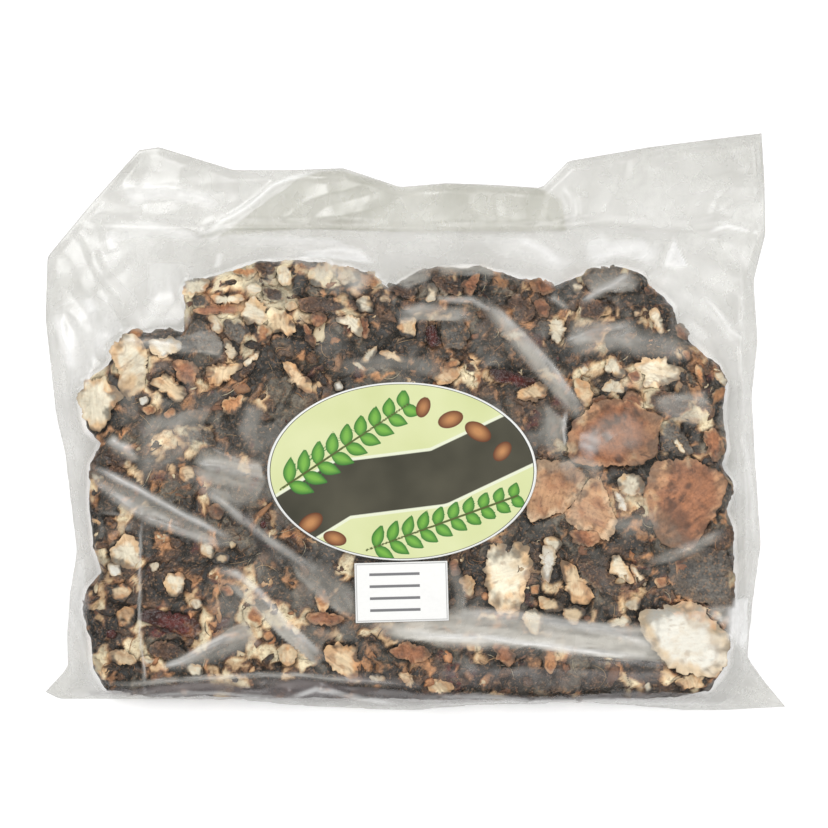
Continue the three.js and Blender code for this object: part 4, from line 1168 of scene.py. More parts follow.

# Patches of film, which are haze with painted reflections, painted highlights in glint white and
# painted shade in the hem greys and shade brown: colour, how milky, width of the soft rim in
# pixels, outline
PATCHES = [
    (HAZE_AND_SHEEN_GREY, 0.8, 7, [360, 618, 440, 612, 470, 600, 500, 610, 560, 616, 640, 622, 652, 645,
        664, 657, 600, 653, 540, 645, 470, 640, 400, 636]),
    (HAZE_AND_SHEEN_GREY, 0.41, 5, [204, 452, 262, 462, 267, 480, 258, 500, 235, 507, 210, 490, 192, 470]),
    (HAZE_AND_SHEEN_GREY, 0.33, 2, [96, 466, 142, 486, 200, 513, 242, 538, 215, 542, 165, 521, 120, 499,
        97, 483]),
    (HAZE_AND_SHEEN_GREY, 0.25, 7, [150, 420, 215, 405, 200, 440, 165, 470, 140, 480, 145, 445]),
    (HAZE_AND_SHEEN_GREY, 0.43, 4, [566, 322, 600, 320, 640, 330, 636, 349, 600, 344, 563, 347]),
    (HAZE_AND_SHEEN_GREY, 0.51, 3, [486, 300, 500, 316, 530, 345, 560, 385, 582, 418, 572, 421, 545, 387,
        515, 352, 483, 314]),
    (HAZE_AND_SHEEN_GREY, 0.28, 3, [186, 336, 214, 330, 225, 345, 222, 357, 200, 353, 157, 352]),
    (HAZE_AND_SHEEN_GREY, 0.3, 5, [648, 395, 700, 393, 708, 410, 690, 427, 660, 415]),
    (HAZE_AND_SHEEN_GREY, 0.33, 4, [395, 271, 430, 268, 432, 280, 410, 291, 398, 286]),
    (HAZE_AND_SHEEN_GREY, 0.37, 3, [436, 267, 480, 267, 502, 277, 480, 276, 440, 277]),
    (HAZE_AND_SHEEN_GREY, 0.41, 4, [398, 312, 430, 306, 470, 312, 468, 322, 430, 320, 400, 326]),
    (HAZE_AND_SHEEN_GREY, 0.25, 5, [300, 262, 345, 262, 352, 280, 338, 297, 320, 285]),
    (HAZE_AND_SHEEN_GREY, 0.57, 3, [224, 577, 262, 587, 286, 611, 331, 655, 317, 661, 280, 630, 252, 601]),
    (HAZE_AND_SHEEN_GREY, 0.41, 4, [160, 666, 205, 640, 248, 617, 262, 640, 240, 650, 205, 661]),
    (HAZE_AND_SHEEN_GREY, 0.25, 6, [290, 553, 330, 560, 356, 590, 350, 615, 326, 600, 300, 575]),
    (HAZE_AND_SHEEN_GREY, 0.45, 3, [110, 437, 122, 440, 143, 455, 140, 461, 118, 453]),
    (GLINT_WHITE, 0.35, 7, [576, 432, 596, 430, 600, 446, 588, 455, 576, 446]),
    (HAZE_AND_SHEEN_GREY, 0.25, 6, [604, 520, 650, 510, 656, 525, 620, 536]),
    (HAZE_AND_SHEEN_GREY, 0.49, 4, [700, 602, 722, 602, 734, 611, 728, 623, 712, 618, 703, 610]),
    (HAZE_AND_SHEEN_GREY, 0.25, 8, [540, 400, 562, 420, 562, 450, 548, 455, 536, 430]),
    (HAZE_AND_SHEEN_GREY, 0.3, 4, [580, 277, 612, 268, 640, 278, 630, 292, 590, 292]),
    (HEM_SHADE_GREY, 0.66, 3, [88, 692, 150, 683, 200, 678, 260, 684, 300, 676, 420, 689, 520, 693,
        700, 689, 735, 693, 720, 704, 600, 700, 420, 706, 300, 704, 230, 697, 90, 697]),
    (HEM_HALF_SHADE_GREY, 0.42, 4, [130, 691, 200, 676, 250, 672, 300, 666, 420, 676, 420, 684, 330, 678,
        300, 684, 250, 680, 200, 686]),
    (HEM_HALF_SHADE_GREY, 0.22, 6, [430, 664, 560, 664, 660, 668, 690, 680, 560, 686, 430, 684]),
    (SHADE_BROWN, 0.6, 1.5, [330, 678, 360, 678, 400, 686, 430, 692, 520, 694, 700, 690, 700, 694,
        520, 698, 430, 697, 395, 691, 350, 683]),
    (SHADE_BROWN, 0.75, 1.5, [588, 654, 620, 656, 666, 658, 664, 663, 620, 662, 590, 659]),
    (SHADE_BROWN, 0.6, 1.5, [608, 686, 640, 683, 662, 687, 640, 691, 612, 692]),
    (SHADE_BROWN, 0.5, 2, [250, 508, 262, 530, 290, 570, 284, 574, 255, 540, 240, 515]),
    (GLINT_WHITE, 0.35, 3, [116, 188, 140, 181, 170, 186, 206, 193, 222, 206, 200, 205, 160, 196,
        128, 203]),
    (GLINT_WHITE, 0.28, 9, [52, 310, 84, 296, 112, 306, 128, 330, 104, 350, 94, 385, 78, 392,
        58, 350]),
    (GLINT_WHITE, 0.3, 2, [582, 263, 590, 240, 640, 236, 652, 250, 640, 262, 612, 256]),
    (GLINT_WHITE, 0.5, 1.2, [674, 237, 664, 266, 687, 267]),
    (GLINT_WHITE, 0.22, 3, [640, 262, 655, 240, 664, 244, 655, 273]),
    (GLINT_WHITE, 0.75, 4, [727, 594, 748, 598, 746, 650, 730, 640]),
    (GLINT_WHITE, 0.3, 1.5, [200, 238, 235, 210, 290, 175, 301, 177, 242, 219, 212, 241]),
    (GLINT_WHITE, 0.25, 5, [470, 237, 520, 236, 575, 262, 558, 272, 500, 256]),
    (GLINT_WHITE, 0.3, 2, [108, 228, 190, 230, 200, 240, 150, 236, 112, 241]),
    (GLINT_WHITE, 0.25, 5, [230, 234, 330, 238, 380, 261, 300, 250, 240, 247]),
    (GLINT_WHITE, 0.5, 3, [296, 258, 330, 251, 358, 252, 374, 263, 345, 262, 318, 260]),
    (GLINT_WHITE, 0.2, 6, [60, 560, 84, 556, 92, 600, 84, 640, 72, 620]),
    (GLINT_WHITE, 0.2, 7, [150, 262, 182, 262, 196, 280, 180, 310, 150, 300]),
]

# The stretch of the mouth flap that lies double, and looks a little darker
DOUBLED_FLAP = [200, 238, 273, 185, 318, 171, 343, 170, 400, 187, 446, 183, 542, 188, 562, 200,
    567, 230, 400, 231, 300, 228]


def folds(x, y):
    """Height, milkiness with painted reflection, and painted highlight of the listed folds: a tent
    max(0, 1 - d/w) across each one, rounded a little, that fades out towards its ends."""
    height, haze_and_light_paint, painted_shine = np.zeros_like(x), np.zeros_like(x), np.zeros_like(x)
    shift = 1.0 * clouds(x, y, 13, 61, 2)
    for wide, rise, milkiness_and_light_paint, painted_shine_share, pixels in FOLDS:
        distance, along = distance_to_line(x + shift, y - shift, trace(pixels))
        across = np.clip(1 - distance / (2.0 * wide / PIXELS_PER_MM), 0, 1)
        fade = ease(along, -0.05, 0.22) * ease(1 - along, -0.05, 0.22)
        height = height + rise * across**1.3 * fade
        haze_and_light_paint = np.maximum(haze_and_light_paint, milkiness_and_light_paint * ease(across, 0.05, 0.85) * fade)
        painted_shine = np.maximum(painted_shine, painted_shine_share * ease(across, 0.25, 0.95) * fade)
    return height, haze_and_light_paint, painted_shine


def brushed(x, y, outline, seed):
    """How strongly a patch shows: brighter to one long side of its outline, as a painted highlight
    there, and weaker towards its ends, with noise drawn out along its long axis, the first axis
    of its corners' spread."""
    middle = outline.mean(0)
    _, axes = np.linalg.eigh(np.cov((outline - middle).T))
    aside, along = ((x - middle[0]) * axes[0, k] + (y - middle[1]) * axes[1, k] for k in (0, 1))
    wide, long = np.abs((outline - middle) @ axes).max(0)
    lit = 0.5 + 0.9 * ease((-1) ** seed * aside / wide, -1, 1)
    ends = 0.25 + 0.75 * ease(1 - np.abs(along) / long, 0, 0.4)
    return lit * ends * (1 + 0.6 * clouds(along / 9, aside / 1.5, 1, seed, 3))


def patched(x, y, haze_and_light_paint, tone):
    """The film's milkiness and colour with its patches laid on, which are hazy film, painted
    reflections, painted highlights and painted shade. Each fades across its rim, which is crisp
    along some stretches and soft along others."""
    shift = 0.8 * clouds(x, y, 9, 62, 2)
    soften = 0.3 + 1.5 * ease(clouds(x, y, 10, 64, 2), -0.3, 0.3)
    for number, (colour, strength, soft, pixels) in enumerate(PATCHES):
        outline = trace(pixels)
        depth = depth_in(x + shift, y - shift, [outline], 4.0)
        wide = soft / PIXELS_PER_MM * soften
        cover = ease(depth, -0.6 * wide, 0.7 * wide) * strength
        cover = np.clip(cover * brushed(x, y, outline, 400 + number), 0, 0.92)
        tone = blend(tone, colour, cover / np.maximum(cover + (1 - cover) * haze_and_light_paint, 1e-3))
        haze_and_light_paint = cover + (1 - cover) * haze_and_light_paint
    return haze_and_light_paint, tone


def zigzag(value):
    """A triangle wave from 0 to 1 with sharp turns."""
    return np.abs(2 * (value - np.floor(value)) - 1)


def crumple(x, y, seed):
    """Facets of crumpled film: triangle waves along four directions, each bent by slow noise.
    Gives their height, from about -1 to 1, and where their ridges run, from 0 to 1."""
    random = np.random.default_rng(seed)
    total, ridges = np.zeros_like(x), np.zeros_like(x)
    for k, pitch in enumerate((34.0, 23.0, 15.0, 9.0)):
        turn = random.uniform(0, np.pi)
        phase = 1.3 * clouds(x, y, 30, seed + 10 * k + 1, 2) + random.uniform()
        wave = zigzag((x * np.cos(turn) + y * np.sin(turn)) / pitch + phase)
        mask = ease(clouds(x, y, 26, seed + 10 * k + 2, 2), -0.35, 0.35)
        total += pitch / 34 * (wave - 0.5) * mask
        ridges = np.maximum(ridges, np.exp(-(((1 - wave) * pitch / 1.2) ** 2)) * mask)
    return total, ridges


FILM_ROWS, FILM_COLUMNS = 261, 349


def bare_of_paper(x, y):
    """0 under the label and the sticker, 1 clear of them."""
    low, high = (np.array(corner)[:2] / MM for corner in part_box("plain_sticker"))
    middle, half = (low + high) / 2, (high - low) / 2
    aside = np.maximum(np.abs(x - middle[0]) - half[0], np.abs(y - middle[1]) - half[1])
    return ease(label_reach(x, y), 1.0, 1.15) * ease(aside, 0, 4)


def film_surface(x, y, sheet, rest):
    """Height of the upper web, its milkiness and its colour, which carry painted highlights,
    reflections and shade. The folds stand on the taut sheet. Above the seal the web lifts in
    slow waves towards the mouth."""
    off_fruit = beyond_fruit(x, y)
    edge, _ = distance_to_line(x, y, closed(film_outline))
    seal, _ = distance_to_line(x, y, trace(SEAL_LINE))
    loose = 0.3 + 0.7 * ease(off_fruit, -6, 6)
    calm, pinched = ease(edge, 0, 3.5), ease(seal, 0.4, 4)
    bare, flap = bare_of_paper(x, y), ease(y, SEAL_Y + 3, SEAL_Y + 26)
    fold, haze_and_light_paint, painted_shine = folds(x, y)
    coarse, _ = crumple(x, y, 71)
    fine, fine_ridges = crumple(x * 2.3, y * 2.3, 72)
    height = sample(sheet, x, y)
    gap = height - sample(rest, x, y)
    clear = ease(off_fruit, -0.8, 0.8)
    creased = 1.3 * coarse + 0.12 * (1 - flap) * fine + 0.5 + 0.8 * clear
    height = height + bare * calm * pinched * (fold + loose * creased)
    height = height + flap * calm * (0.9 + 0.8 * clouds(x, y, 40, 73, 2))

    lifted = ease(gap, 0.3, 2.0)
    slow = ease(clouds(x, y, 15, 74, 3), -0.1, 0.5)
    # Along the fine ridges lifted film is whiter: partly crease whitening, partly painted
    # highlight.
    over_fruit = 0.02 + lifted * (0.03 + 0.16 * slow) + 0.06 * fine_ridges * lifted
    doubled = depth_in(x, y, [trace(DOUBLED_FLAP)], 4.0)
    doubled = ease(doubled, -0.3, 0.3)
    # Off the fruit the film's cover follows the crumpled facets' height: painted light and shade
    # on the facets.
    over_floor = 0.5 + 0.08 * coarse + 0.03 * fine + 0.06 * clouds(x, y, 22, 79, 2)
    over_floor = over_floor + 0.07 * flap + 0.14 * doubled
    milkiness_and_light_paint = over_fruit * (1 - clear) + over_floor * clear
    milkiness_and_light_paint = milkiness_and_light_paint + 0.1 * np.exp(-((seal / 0.5) ** 2))
    tone = blend(blend(HAZE_AND_SHEEN_GREY[None], CLEAR_GREY, clear), DOUBLED_GREY, clear * doubled)
    milkiness_and_light_paint, tone = patched(x, y, milkiness_and_light_paint, tone)
    haze_and_light_paint = haze_and_light_paint * (0.8 + 0.35 * clouds(x, y, 6, 75, 2))
    tone = blend(tone, HAZE_AND_SHEEN_GREY, (1 - clear) * ease(haze_and_light_paint - milkiness_and_light_paint, 0, 0.1))
    milkiness_and_light_paint = np.maximum(milkiness_and_light_paint, haze_and_light_paint)
    # Painted highlights: where folds shine, the film turns white and less clear.
    tone = blend(tone, GLINT_WHITE, painted_shine)
    milkiness_and_light_paint = np.maximum(milkiness_and_light_paint, 0.85 * painted_shine)
    return height, np.clip(milkiness_and_light_paint, 0.015, 0.9), tone


def film(sheet, rest):
    """The bag as two webs on Coons grids: the upper web over the fruit, and a coarser lower one
    under it, joined along the rim. Where the upper web would sink below its lowest level it rounds
    off to it as (d + hypot(d, 0.5)) / 2. At the mouth its rim stands open a little."""
    plan = coons(*film_edges, FILM_ROWS, FILM_COLUMNS)
    x, y = plan[..., 0].ravel(), plan[..., 1].ravel()
    high, milkiness_and_light_paint, tone = film_surface(x, y, sheet, rest)
    edge, _ = distance_to_line(x, y, closed(film_outline))
    low = 0.1 + 0.2 * ease(clouds(x, y, 12, 81, 2), -0.6, 0.6) * ease(edge, 0, 5)
    low = np.where(inside(x, y, fruit_outline), 0.1, low)
    lifted = high - WEB_LOW
    high = WEB_LOW + (lifted + np.hypot(lifted, 0.5)) / 2
    low = low.reshape(plan.shape[:2])[::UNDER_STEP, ::UNDER_STEP]
    haze = np.concatenate([milkiness_and_light_paint, np.full(low.size, 0.1)])
    tone = np.concatenate([tone, np.tile(HAZE_AND_SHEEN_GREY, (low.size, 1))])
    bag = build("clear_bag", *two_layers(plan, high, low), "film", ["bag_film"], haze=haze,
                tone=tone)
    bag.visible_shadow = False  # light passes through clear film
    return bag


# Label and sticker

PAPER_THICKNESS = 0.12
LABEL_RINGS, LABEL_SIDES = 56, 220


def paper(name, slot, node, x, y, faces, rim, sheet, **values):
    """A patch of paper that follows the film: the grid over the sheet, and again one thickness
    lower, joined round the rim."""
    z = sample(sheet, x, y) + 0.25
    points = np.concatenate([np.stack([x, y, z + PAPER_THICKNESS], -1), np.stack([x, y, z], -1)])
    after, below = np.roll(rim, -1), len(x)
    faces = np.concatenate([
        faces, faces[:, ::-1] + below,
        np.stack([rim, rim + below, after + below], -1), np.stack([rim, after + below, after], -1),
    ])
    doubled = {key: np.concatenate([value, value]) for key, value in values.items()}
    return build(name, points, faces, slot, [node], **doubled)


def leaf_distance(x, y, stalk, tip, width):
    """Signed distance, roughly, to a pointed leaf between two points, negative within: across it
    |t| - w sin(pi s), for the share s along it."""
    (ax, ay), (bx, by) = stalk, tip
    length = np.hypot(bx - ax, by - ay)
    s = ((x - ax) * (bx - ax) + (y - ay) * (by - ay)) / length**2
    t = ((x - ax) * (by - ay) - (y - ay) * (bx - ax)) / length
    belly = width * np.sin(np.pi * np.clip(s, 0, 1) ** 0.8)
    beyond = length * np.maximum(0, np.abs(s - 0.5) - 0.5)
    return np.hypot(np.maximum(np.abs(t) - belly, 0), beyond) - np.maximum(belly - np.abs(t), 0)


# Generic sprays printed on the label: start, end, leaves to a side, leaf length and width
SPRAYS = [
    ((-40, -6), (2, 22), 9, 9.0, 2.1),
    ((-12, -26), (38, -8), 10, 8.0, 1.9),
]
BAND = [(-46, -22), (-20, -6), (12, -2), (46, 14)]
BEADS = [(16, 17, 4.2, 2.6, 20), (25, 13, 4.6, 2.8, -30), (33, 6.5, 3.6, 2.4, 50),
         (-30, -17, 4.4, 2.7, 35), (-22, -22, 3.8, 2.3, -15), (7, 21, 3.4, 2.2, 70)]


def label_print(x, y):
    """Distances to the printed leaves, band, beads and rim line, from the label's middle."""
    leaves = np.full(x.shape, 99.0)
    stems = np.full(x.shape, 99.0)
    for start, end, count, length, width in SPRAYS:
        start, end = np.array(start, float), np.array(end, float)
        forward = (end - start) / np.hypot(*(end - start))
        aside = np.array([-forward[1], forward[0]])
        stems = np.minimum(stems, distance_to_line(x, y, [start, end])[0] - 0.28)
        for k in range(count):
            foot = start + (end - start) * (k + 0.6) / count
            for way in (-1, 1):
                tip = foot + length * (1 - 0.035 * k) * (0.62 * forward + 0.78 * way * aside)
                leaves = np.minimum(leaves, leaf_distance(x, y, foot, tip, width))
    band, _ = distance_to_line(x, y, BAND)
    beads = np.full(x.shape, 99.0)
    for cx, cy, a, b, turn in BEADS:
        cos, sin = np.cos(np.radians(turn)), np.sin(np.radians(turn))
        u, v = (x - cx) * cos + (y - cy) * sin, (y - cy) * cos - (x - cx) * sin
        beads = np.minimum(beads, (np.hypot(u / a, v / b) - 1) * b)
    return leaves, stems, band, beads


def oval_label(sheet):
    """The label as rings of one oval, with the print's distances at each corner."""
    share = (np.arange(1, LABEL_RINGS + 1) / LABEL_RINGS)[:, None]
    angle = np.linspace(0, 2 * np.pi, LABEL_SIDES, endpoint=False)[None]
    u = np.concatenate([[0], (share * LABEL_HALF[0] * np.cos(angle)).ravel()])
    v = np.concatenate([[0], (share * LABEL_HALF[1] * np.sin(angle)).ravel()])
    side = np.arange(LABEL_SIDES)
    hub = np.stack([np.zeros(LABEL_SIDES, int), 1 + side, 1 + (side + 1) % LABEL_SIDES], -1)
    rings = grid_faces(LABEL_RINGS, LABEL_SIDES, around=True)[:, ::-1] + 1
    rim = 1 + (LABEL_RINGS - 1) * LABEL_SIDES + side
    leaves, stems, band, beads = label_print(u, v)
    reach = np.hypot(u / LABEL_HALF[0], v / LABEL_HALF[1])
    return paper("printed_label", "label_paper", "oval_label", u + LABEL_MIDDLE[0],
                 v + LABEL_MIDDLE[1], np.concatenate([hub, rings]), rim, sheet,
                 leaves=leaves, stems=stems, band=band, beads=beads, reach=reach)


STICKER_ROWS, STICKER_COLUMNS = 40, 60
STICKER_TURN = np.radians(1.5)
STICKER_WIDTH = 30.5
STICKER_LENGTH = 19.5


def plain_sticker(sheet):
    """The sticker as a turned rectangle, with its own u and v in millimetres at each corner."""
    low, high = (np.array(corner)[:2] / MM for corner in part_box("plain_sticker"))
    middle = (low + high) / 2
    u, v = np.meshgrid(np.linspace(-0.5, 0.5, STICKER_COLUMNS) * STICKER_WIDTH,
                       np.linspace(-0.5, 0.5, STICKER_ROWS) * STICKER_LENGTH)
    u, v = u.ravel(), v.ravel()
    x = middle[0] + u * np.cos(STICKER_TURN) - v * np.sin(STICKER_TURN)
    y = middle[1] + u * np.sin(STICKER_TURN) + v * np.cos(STICKER_TURN)
    return paper("white_sticker", "sticker_paper", "plain_sticker", x, y,
                 grid_faces(STICKER_ROWS, STICKER_COLUMNS), rim_of(STICKER_ROWS, STICKER_COLUMNS),
                 sheet, along=u, across=v)


# Materials


class Nodes:
    """A new material's node tree, or a group's, with short calls to add nodes and join them."""

    def __init__(self, name=None, tree=None):
        self.tree = tree
        if name:
            self.material = bpy.data.materials.new(name)
            self.material.use_nodes = True
            self.tree = self.material.node_tree
            self.shader = self.tree.nodes["Principled BSDF"]

    def add(self, kind, inputs=None, **settings):
        node = self.tree.nodes.new(kind)
        for key, value in settings.items():
            setattr(node, key, value)
        for key, value in (inputs or {}).items():
            self.join(value, node.inputs[key])
        return node

    def join(self, value, socket):
        if isinstance(value, bpy.types.NodeSocket):
            self.tree.links.new(value, socket)
        else:
            socket.default_value = value

    def value(self, name):
        return self.add("ShaderNodeAttribute", attribute_name=name).outputs["Fac"]

    def colour(self, name):
        return self.add("ShaderNodeAttribute", attribute_name=name).outputs["Color"]

    def noise(self, scale, detail=3.0, stretch=(1, 1, 1)):
        place = self.add("ShaderNodeTexCoord").outputs["Object"]
        mapped = self.add("ShaderNodeMapping", {"Vector": place, "Scale": stretch})
        inputs = {"Vector": mapped.outputs[0], "Scale": scale, "Detail": detail}
        return self.add("ShaderNodeTexNoise", inputs).outputs["Fac"]

    def ramp(self, value, low, high, to_low=0.0, to_high=1.0):
        inputs = {"Value": value, "From Min": low, "From Max": high, "To Min": to_low,
                  "To Max": to_high}
        return self.add("ShaderNodeMapRange", inputs).outputs["Result"]

    def math(self, operation, a, b):
        return self.add("ShaderNodeMath", {0: a, 1: b}, operation=operation).outputs[0]

    def mix(self, factor, a, b, blend="MIX"):
        node = self.add("ShaderNodeMix", data_type="RGBA", blend_type=blend)
        self.join(factor, node.inputs[0])
        self.join(a, node.inputs[6])
        self.join(b, node.inputs[7])
        return node.outputs[2]

    def bump(self, height, strength, distance):
        inputs = {"Height": height, "Strength": strength, "Distance": distance * MM}
        return self.add("ShaderNodeBump", inputs).outputs["Normal"]

    def finish(self, **sockets):
        for key, value in sockets.items():
            self.join(value, self.shader.inputs[key.replace("_", " ")])
        return self.material


def tint(red, green, blue):
    """A colour given as on a screen, for a shader's socket."""
    return (*(float(part) for part in linear(red, green, blue)), 1.0)


def mottle_group():
    """The crumbs and pits that all the fruit has, as one node group. From a tone and the strength
    of its grain and crumbs it gives a colour, a height and a roughness mask."""
    group = bpy.data.node_groups.new("fruit_mottle", "ShaderNodeTree")
    for name, kind in (("Tone", "NodeSocketColor"), ("Crumb Colour", "NodeSocketColor"),
                       ("Grain", "NodeSocketFloat"), ("Crumbs", "NodeSocketFloat")):
        group.interface.new_socket(name=name, in_out="INPUT", socket_type=kind)
    for name, kind in (("Colour", "NodeSocketColor"), ("Height", "NodeSocketFloat"),
                       ("Wear", "NodeSocketFloat")):
        group.interface.new_socket(name=name, in_out="OUTPUT", socket_type=kind)
    nodes = Nodes(tree=group)
    given = nodes.add("NodeGroupInput").outputs
    fine, coarse, crumbs = nodes.noise(1300, 4), nodes.noise(380, 3), nodes.noise(950, 2)
    light = nodes.add("ShaderNodeRGBToBW", {"Color": given["Tone"]}).outputs[0]
    grain = nodes.math("MULTIPLY", given["Grain"], nodes.ramp(light, 0.12, 0.4, 1, 0.2))
    tone = nodes.mix(grain, given["Tone"], nodes.ramp(fine, 0.3, 0.7, 0.3, 1.5), "MULTIPLY")
    tone = nodes.mix(grain, tone, nodes.ramp(coarse, 0.3, 0.7, 0.5, 1.4), "MULTIPLY")
    strewn = nodes.math("MULTIPLY", nodes.ramp(crumbs, 0.56, 0.64), given["Crumbs"])
    tone = nodes.mix(strewn, tone, given["Crumb Colour"])
    height = nodes.math("ADD", nodes.math("MULTIPLY", fine, 0.6), coarse)
    height = nodes.math("ADD", height, nodes.math("MULTIPLY", strewn, 0.5))
    nodes.add("NodeGroupOutput", {"Colour": tone, "Height": height, "Wear": coarse})
    return group


FRUIT_MOTTLE = mottle_group()


def fruit_material(name, rough, gloss, grain, crumbs, crumb_colour, bump):
    """Fruit: the piece's own tone, mottled, with roughness that follows the mottling."""
    nodes = Nodes(name)
    mottle = nodes.add("ShaderNodeGroup", node_tree=FRUIT_MOTTLE)
    inputs = {"Tone": nodes.colour("tone"), "Crumb Colour": tint(*crumb_colour), "Grain": grain,
              "Crumbs": crumbs}
    for key, value in inputs.items():
        nodes.join(value, mottle.inputs[key])
    return nodes.finish(
        Base_Color=mottle.outputs["Colour"],
        Roughness=nodes.ramp(mottle.outputs["Wear"], 0.35, 0.7, gloss, rough),
        Normal=nodes.bump(mottle.outputs["Height"], bump, 0.5),
    )


def film_material():
    """Clear film: a thin glossy skin with its own tone, as clouded as its attribute of milkiness
    and painted light says; tone and milkiness carry painted highlights, reflections and shade.
    """
    nodes = Nodes("film_clear")
    cloudy = nodes.noise(160, 4)
    fine = nodes.noise(700, 3, stretch=(1, 0.4, 1))
    haze = nodes.math("MULTIPLY", nodes.value("haze"), nodes.ramp(cloudy, 0.3, 0.7, 0.95, 1.05))
    haze = nodes.math("MULTIPLY", haze, nodes.ramp(fine, 0.3, 0.7, 0.97, 1.03))
    return nodes.finish(
        Base_Color=nodes.colour("tone"),
        Roughness=nodes.ramp(cloudy, 0.3, 0.7, 0.2, 0.36),
        IOR=1.9,
        Alpha=haze,
        Normal=nodes.bump(fine, 0.08, 0.3),
    )


def label_material():
    """Coated paper with a generic print: a pale green ground, a dark band, sprays of leaves and
    brown beads, inside a white line and a thin dark one."""
    nodes = Nodes("label_print")
    soft = nodes.noise(60, 2)
    ground = nodes.mix(soft, tint(210, 218, 154), tint(232, 236, 188))
    band = nodes.value("band")
    ground = nodes.mix(nodes.ramp(band, 9.8, 10.1, 1, 0), ground, tint(236, 240, 214))
    dark = nodes.mix(soft, tint(44, 44, 36), tint(86, 82, 62))
    ground = nodes.mix(nodes.ramp(band, 8.8, 9.1, 1, 0), ground, dark)
    leaves = nodes.value("leaves")
    vein = nodes.ramp(nodes.value("stems"), 0.0, 0.15, 1, 0)
    green = nodes.mix(nodes.ramp(leaves, -1.6, 0, 0, 1), tint(122, 184, 70),
                      tint(52, 120, 44))
    ground = nodes.mix(nodes.ramp(leaves, 0, 0.15, 1, 0), ground, green)
    ground = nodes.mix(vein, ground, tint(84, 96, 40))
    beads = nodes.value("beads")
    brown = nodes.mix(nodes.ramp(beads, -2.0, 0, 0, 1), tint(196, 138, 86),
                      tint(104, 54, 26))
    ground = nodes.mix(nodes.ramp(beads, 0, 0.15, 1, 0), ground, brown)
    reach = nodes.value("reach")
    ground = nodes.mix(nodes.ramp(reach, 0.974, 0.978), ground, tint(30, 34, 28))
    ground = nodes.mix(nodes.ramp(reach, 0.980, 0.984), ground, tint(246, 247, 244))
    return nodes.finish(
        Base_Color=ground,
        Roughness=nodes.ramp(soft, 0.3, 0.7, 0.28, 0.42),
        Normal=nodes.bump(nodes.noise(500, 2), 0.05, 0.2),
    )


BAR_PITCH = 3.9
BAR_ENDS = (-10.5, 6.0)


def sticker_material():
    """White paper with a thin border and four plain grey bars."""
    nodes = Nodes("sticker_white")
    u, v = nodes.value("along"), nodes.value("across")
    grain = nodes.noise(900, 2)
    white = nodes.mix(grain, tint(244, 244, 242), tint(252, 252, 250))
    row = nodes.math("PINGPONG", nodes.math("ADD", v, BAR_PITCH * 10.5), BAR_PITCH / 2)
    bar = nodes.ramp(row, 0.4, 0.5, 1, 0)
    bar = nodes.math("MULTIPLY", bar, nodes.ramp(u, BAR_ENDS[0], BAR_ENDS[0] + 0.1))
    bar = nodes.math("MULTIPLY", bar, nodes.ramp(u, BAR_ENDS[1], BAR_ENDS[1] + 0.1, 1, 0))
    bar = nodes.math("MULTIPLY", bar, nodes.ramp(nodes.math("ABSOLUTE", v, 0), 7.4, 7.5, 1, 0))
    paper_tone = nodes.mix(bar, white, tint(120, 120, 122))
    side = nodes.math("SUBTRACT", nodes.math("ABSOLUTE", u, 0), STICKER_WIDTH / 2 - 0.55)
    end = nodes.math("SUBTRACT", nodes.math("ABSOLUTE", v, 0), STICKER_LENGTH / 2 - 0.55)
    edge = nodes.math("ABSOLUTE", nodes.math("MAXIMUM", side, end), 0)
    paper_tone = nodes.mix(nodes.ramp(edge, 0.1, 0.18, 0.6, 0), paper_tone,
                           tint(110, 110, 110))
    return nodes.finish(Base_Color=paper_tone, Roughness=nodes.ramp(grain, 0.3, 0.7, 0.5, 0.62),
                        Normal=nodes.bump(grain, 0.08, 0.1))


def floor_material():
    nodes = Nodes("studio_floor")
    white = tint(247, 247, 247)
    return nodes.finish(Base_Color=white, Roughness=0.9, Emission_Color=white,
                        Emission_Strength=0.24)


# Putting the bag together

MATERIALS = {
    "pulp": fruit_material("pulp_sticky", 0.75, 0.3, 0.9, 0.45, (168, 130, 96), 0.8),
    "membrane": fruit_material("membrane_papery", 0.6, 0.4, 0.1, 0.12, (196, 150, 104), 0.22),
    "rind": fruit_material("rind_dry", 0.75, 0.5, 0.3, 0.3, (104, 66, 44), 0.45),
    "flesh": fruit_material("flesh_wet", 0.3, 0.12, 0.5, 0.3, (40, 14, 10), 0.5),
    "film": film_material(),
    "label_paper": label_material(),
    "sticker_paper": sticker_material(),
}



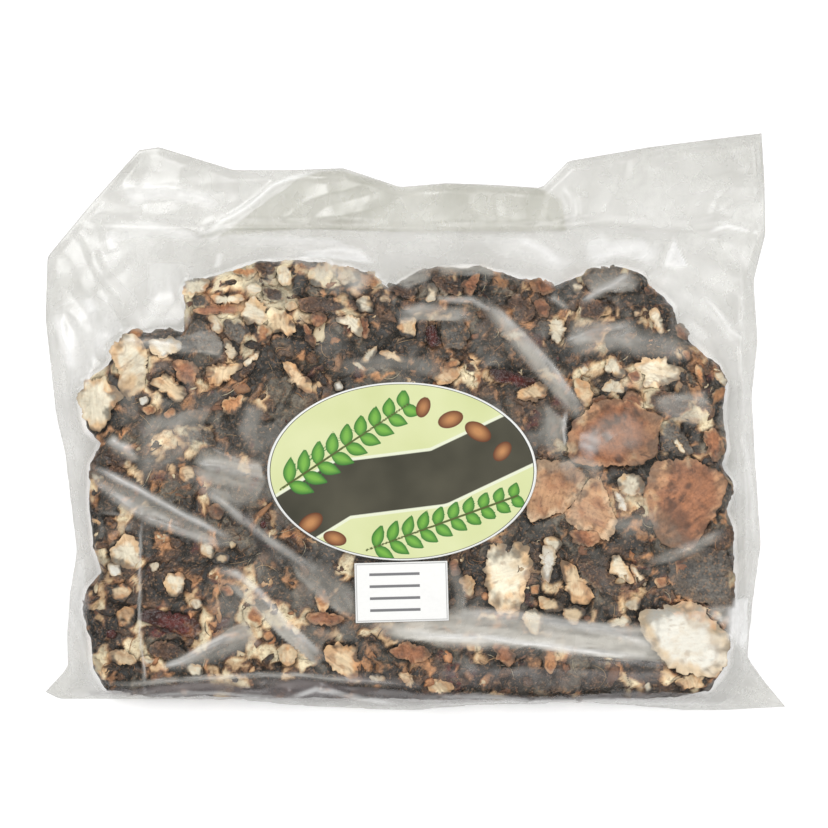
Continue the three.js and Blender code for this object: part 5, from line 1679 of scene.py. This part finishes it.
def put_together():
    """Makes every piece. The film is drawn taut over the fruit, and the label and the sticker
    over the film."""
    fruit_bed()
    contents = fruit_height(plane_x.ravel(), plane_y.ravel()).reshape(plane_x.shape)
    contents = np.where(inside(plane_x, plane_y, fruit_outline), contents, 0)
    strewn = scattered_bits(np.random.default_rng(SCATTER_SEED))
    made = [bits(kind, rows, 500 + number) for number, (kind, rows) in enumerate(strewn.items())]
    finishes = sorted({finish for finish, _ in PIECES})
    made += [outlined_pieces(finish, 3000 + 2000 * k) for k, finish in enumerate(finishes)]
    made += [flake(node, 900 + 20 * number) for number, node in enumerate(sorted(flakes))]
    for piece in made:
        stamp(contents, corners_of(piece))
    fibres(fruit_height)
    sheet, rest = taut_sheet(contents)
    film(sheet, rest)
    oval_label(sheet)
    plain_sticker(sheet)


put_together()


# Studio


def studio_floor():
    bpy.ops.mesh.primitive_plane_add(size=6, location=(0, 0, -0.0002))
    floor = bpy.context.object
    floor.name = "studio_floor"
    floor.data.materials.append(floor_material())


def area_light(name, place, size, power):
    """A square soft light that faces the bag."""
    light = bpy.data.lights.new(name, "AREA")
    light.size, light.energy = size, power
    lamp = bpy.data.objects.new(name, light)
    lamp.location = place
    direction = -lamp.location
    lamp.rotation_euler = direction.to_track_quat("-Z", "Y").to_euler()
    bpy.context.scene.collection.objects.link(lamp)


def studio():
    studio_floor()
    area_light("key_light", (-0.36, 0.42, 0.85), 0.5, 4.3)
    area_light("fill_light", (0.5, 0.16, 0.8), 0.5, 2.5)
    area_light("front_light", (0.08, -0.55, 0.8), 0.5, 2.1)
    world = bpy.data.worlds.new("studio_air")
    world.use_nodes = True
    sky = world.node_tree.nodes["Background"]
    sky.inputs["Color"].default_value = (1.0, 0.995, 0.98, 1.0)
    sky.inputs["Strength"].default_value = 0.34
    bpy.context.scene.world = world
    bpy.context.scene.view_settings.view_transform = "Standard"


def camera():
    """Looks straight down on the spot that the photograph's middle shows, from as far as its
    scale asks for."""
    lens = bpy.data.cameras.new("photo_camera")
    lens.lens, lens.sensor_width = LENS, SENSOR
    eye = bpy.data.objects.new("photo_camera", lens)
    across = PHOTO_SIZE / PIXELS_PER_MM
    x, y = at_pixel(PHOTO_SIZE / 2, PHOTO_SIZE / 2)
    eye.location = np.array([x, y, VIEW_HEIGHT + across * LENS / SENSOR]) * MM
    bpy.context.scene.collection.objects.link(eye)
    bpy.context.scene.camera = eye


studio()
camera()
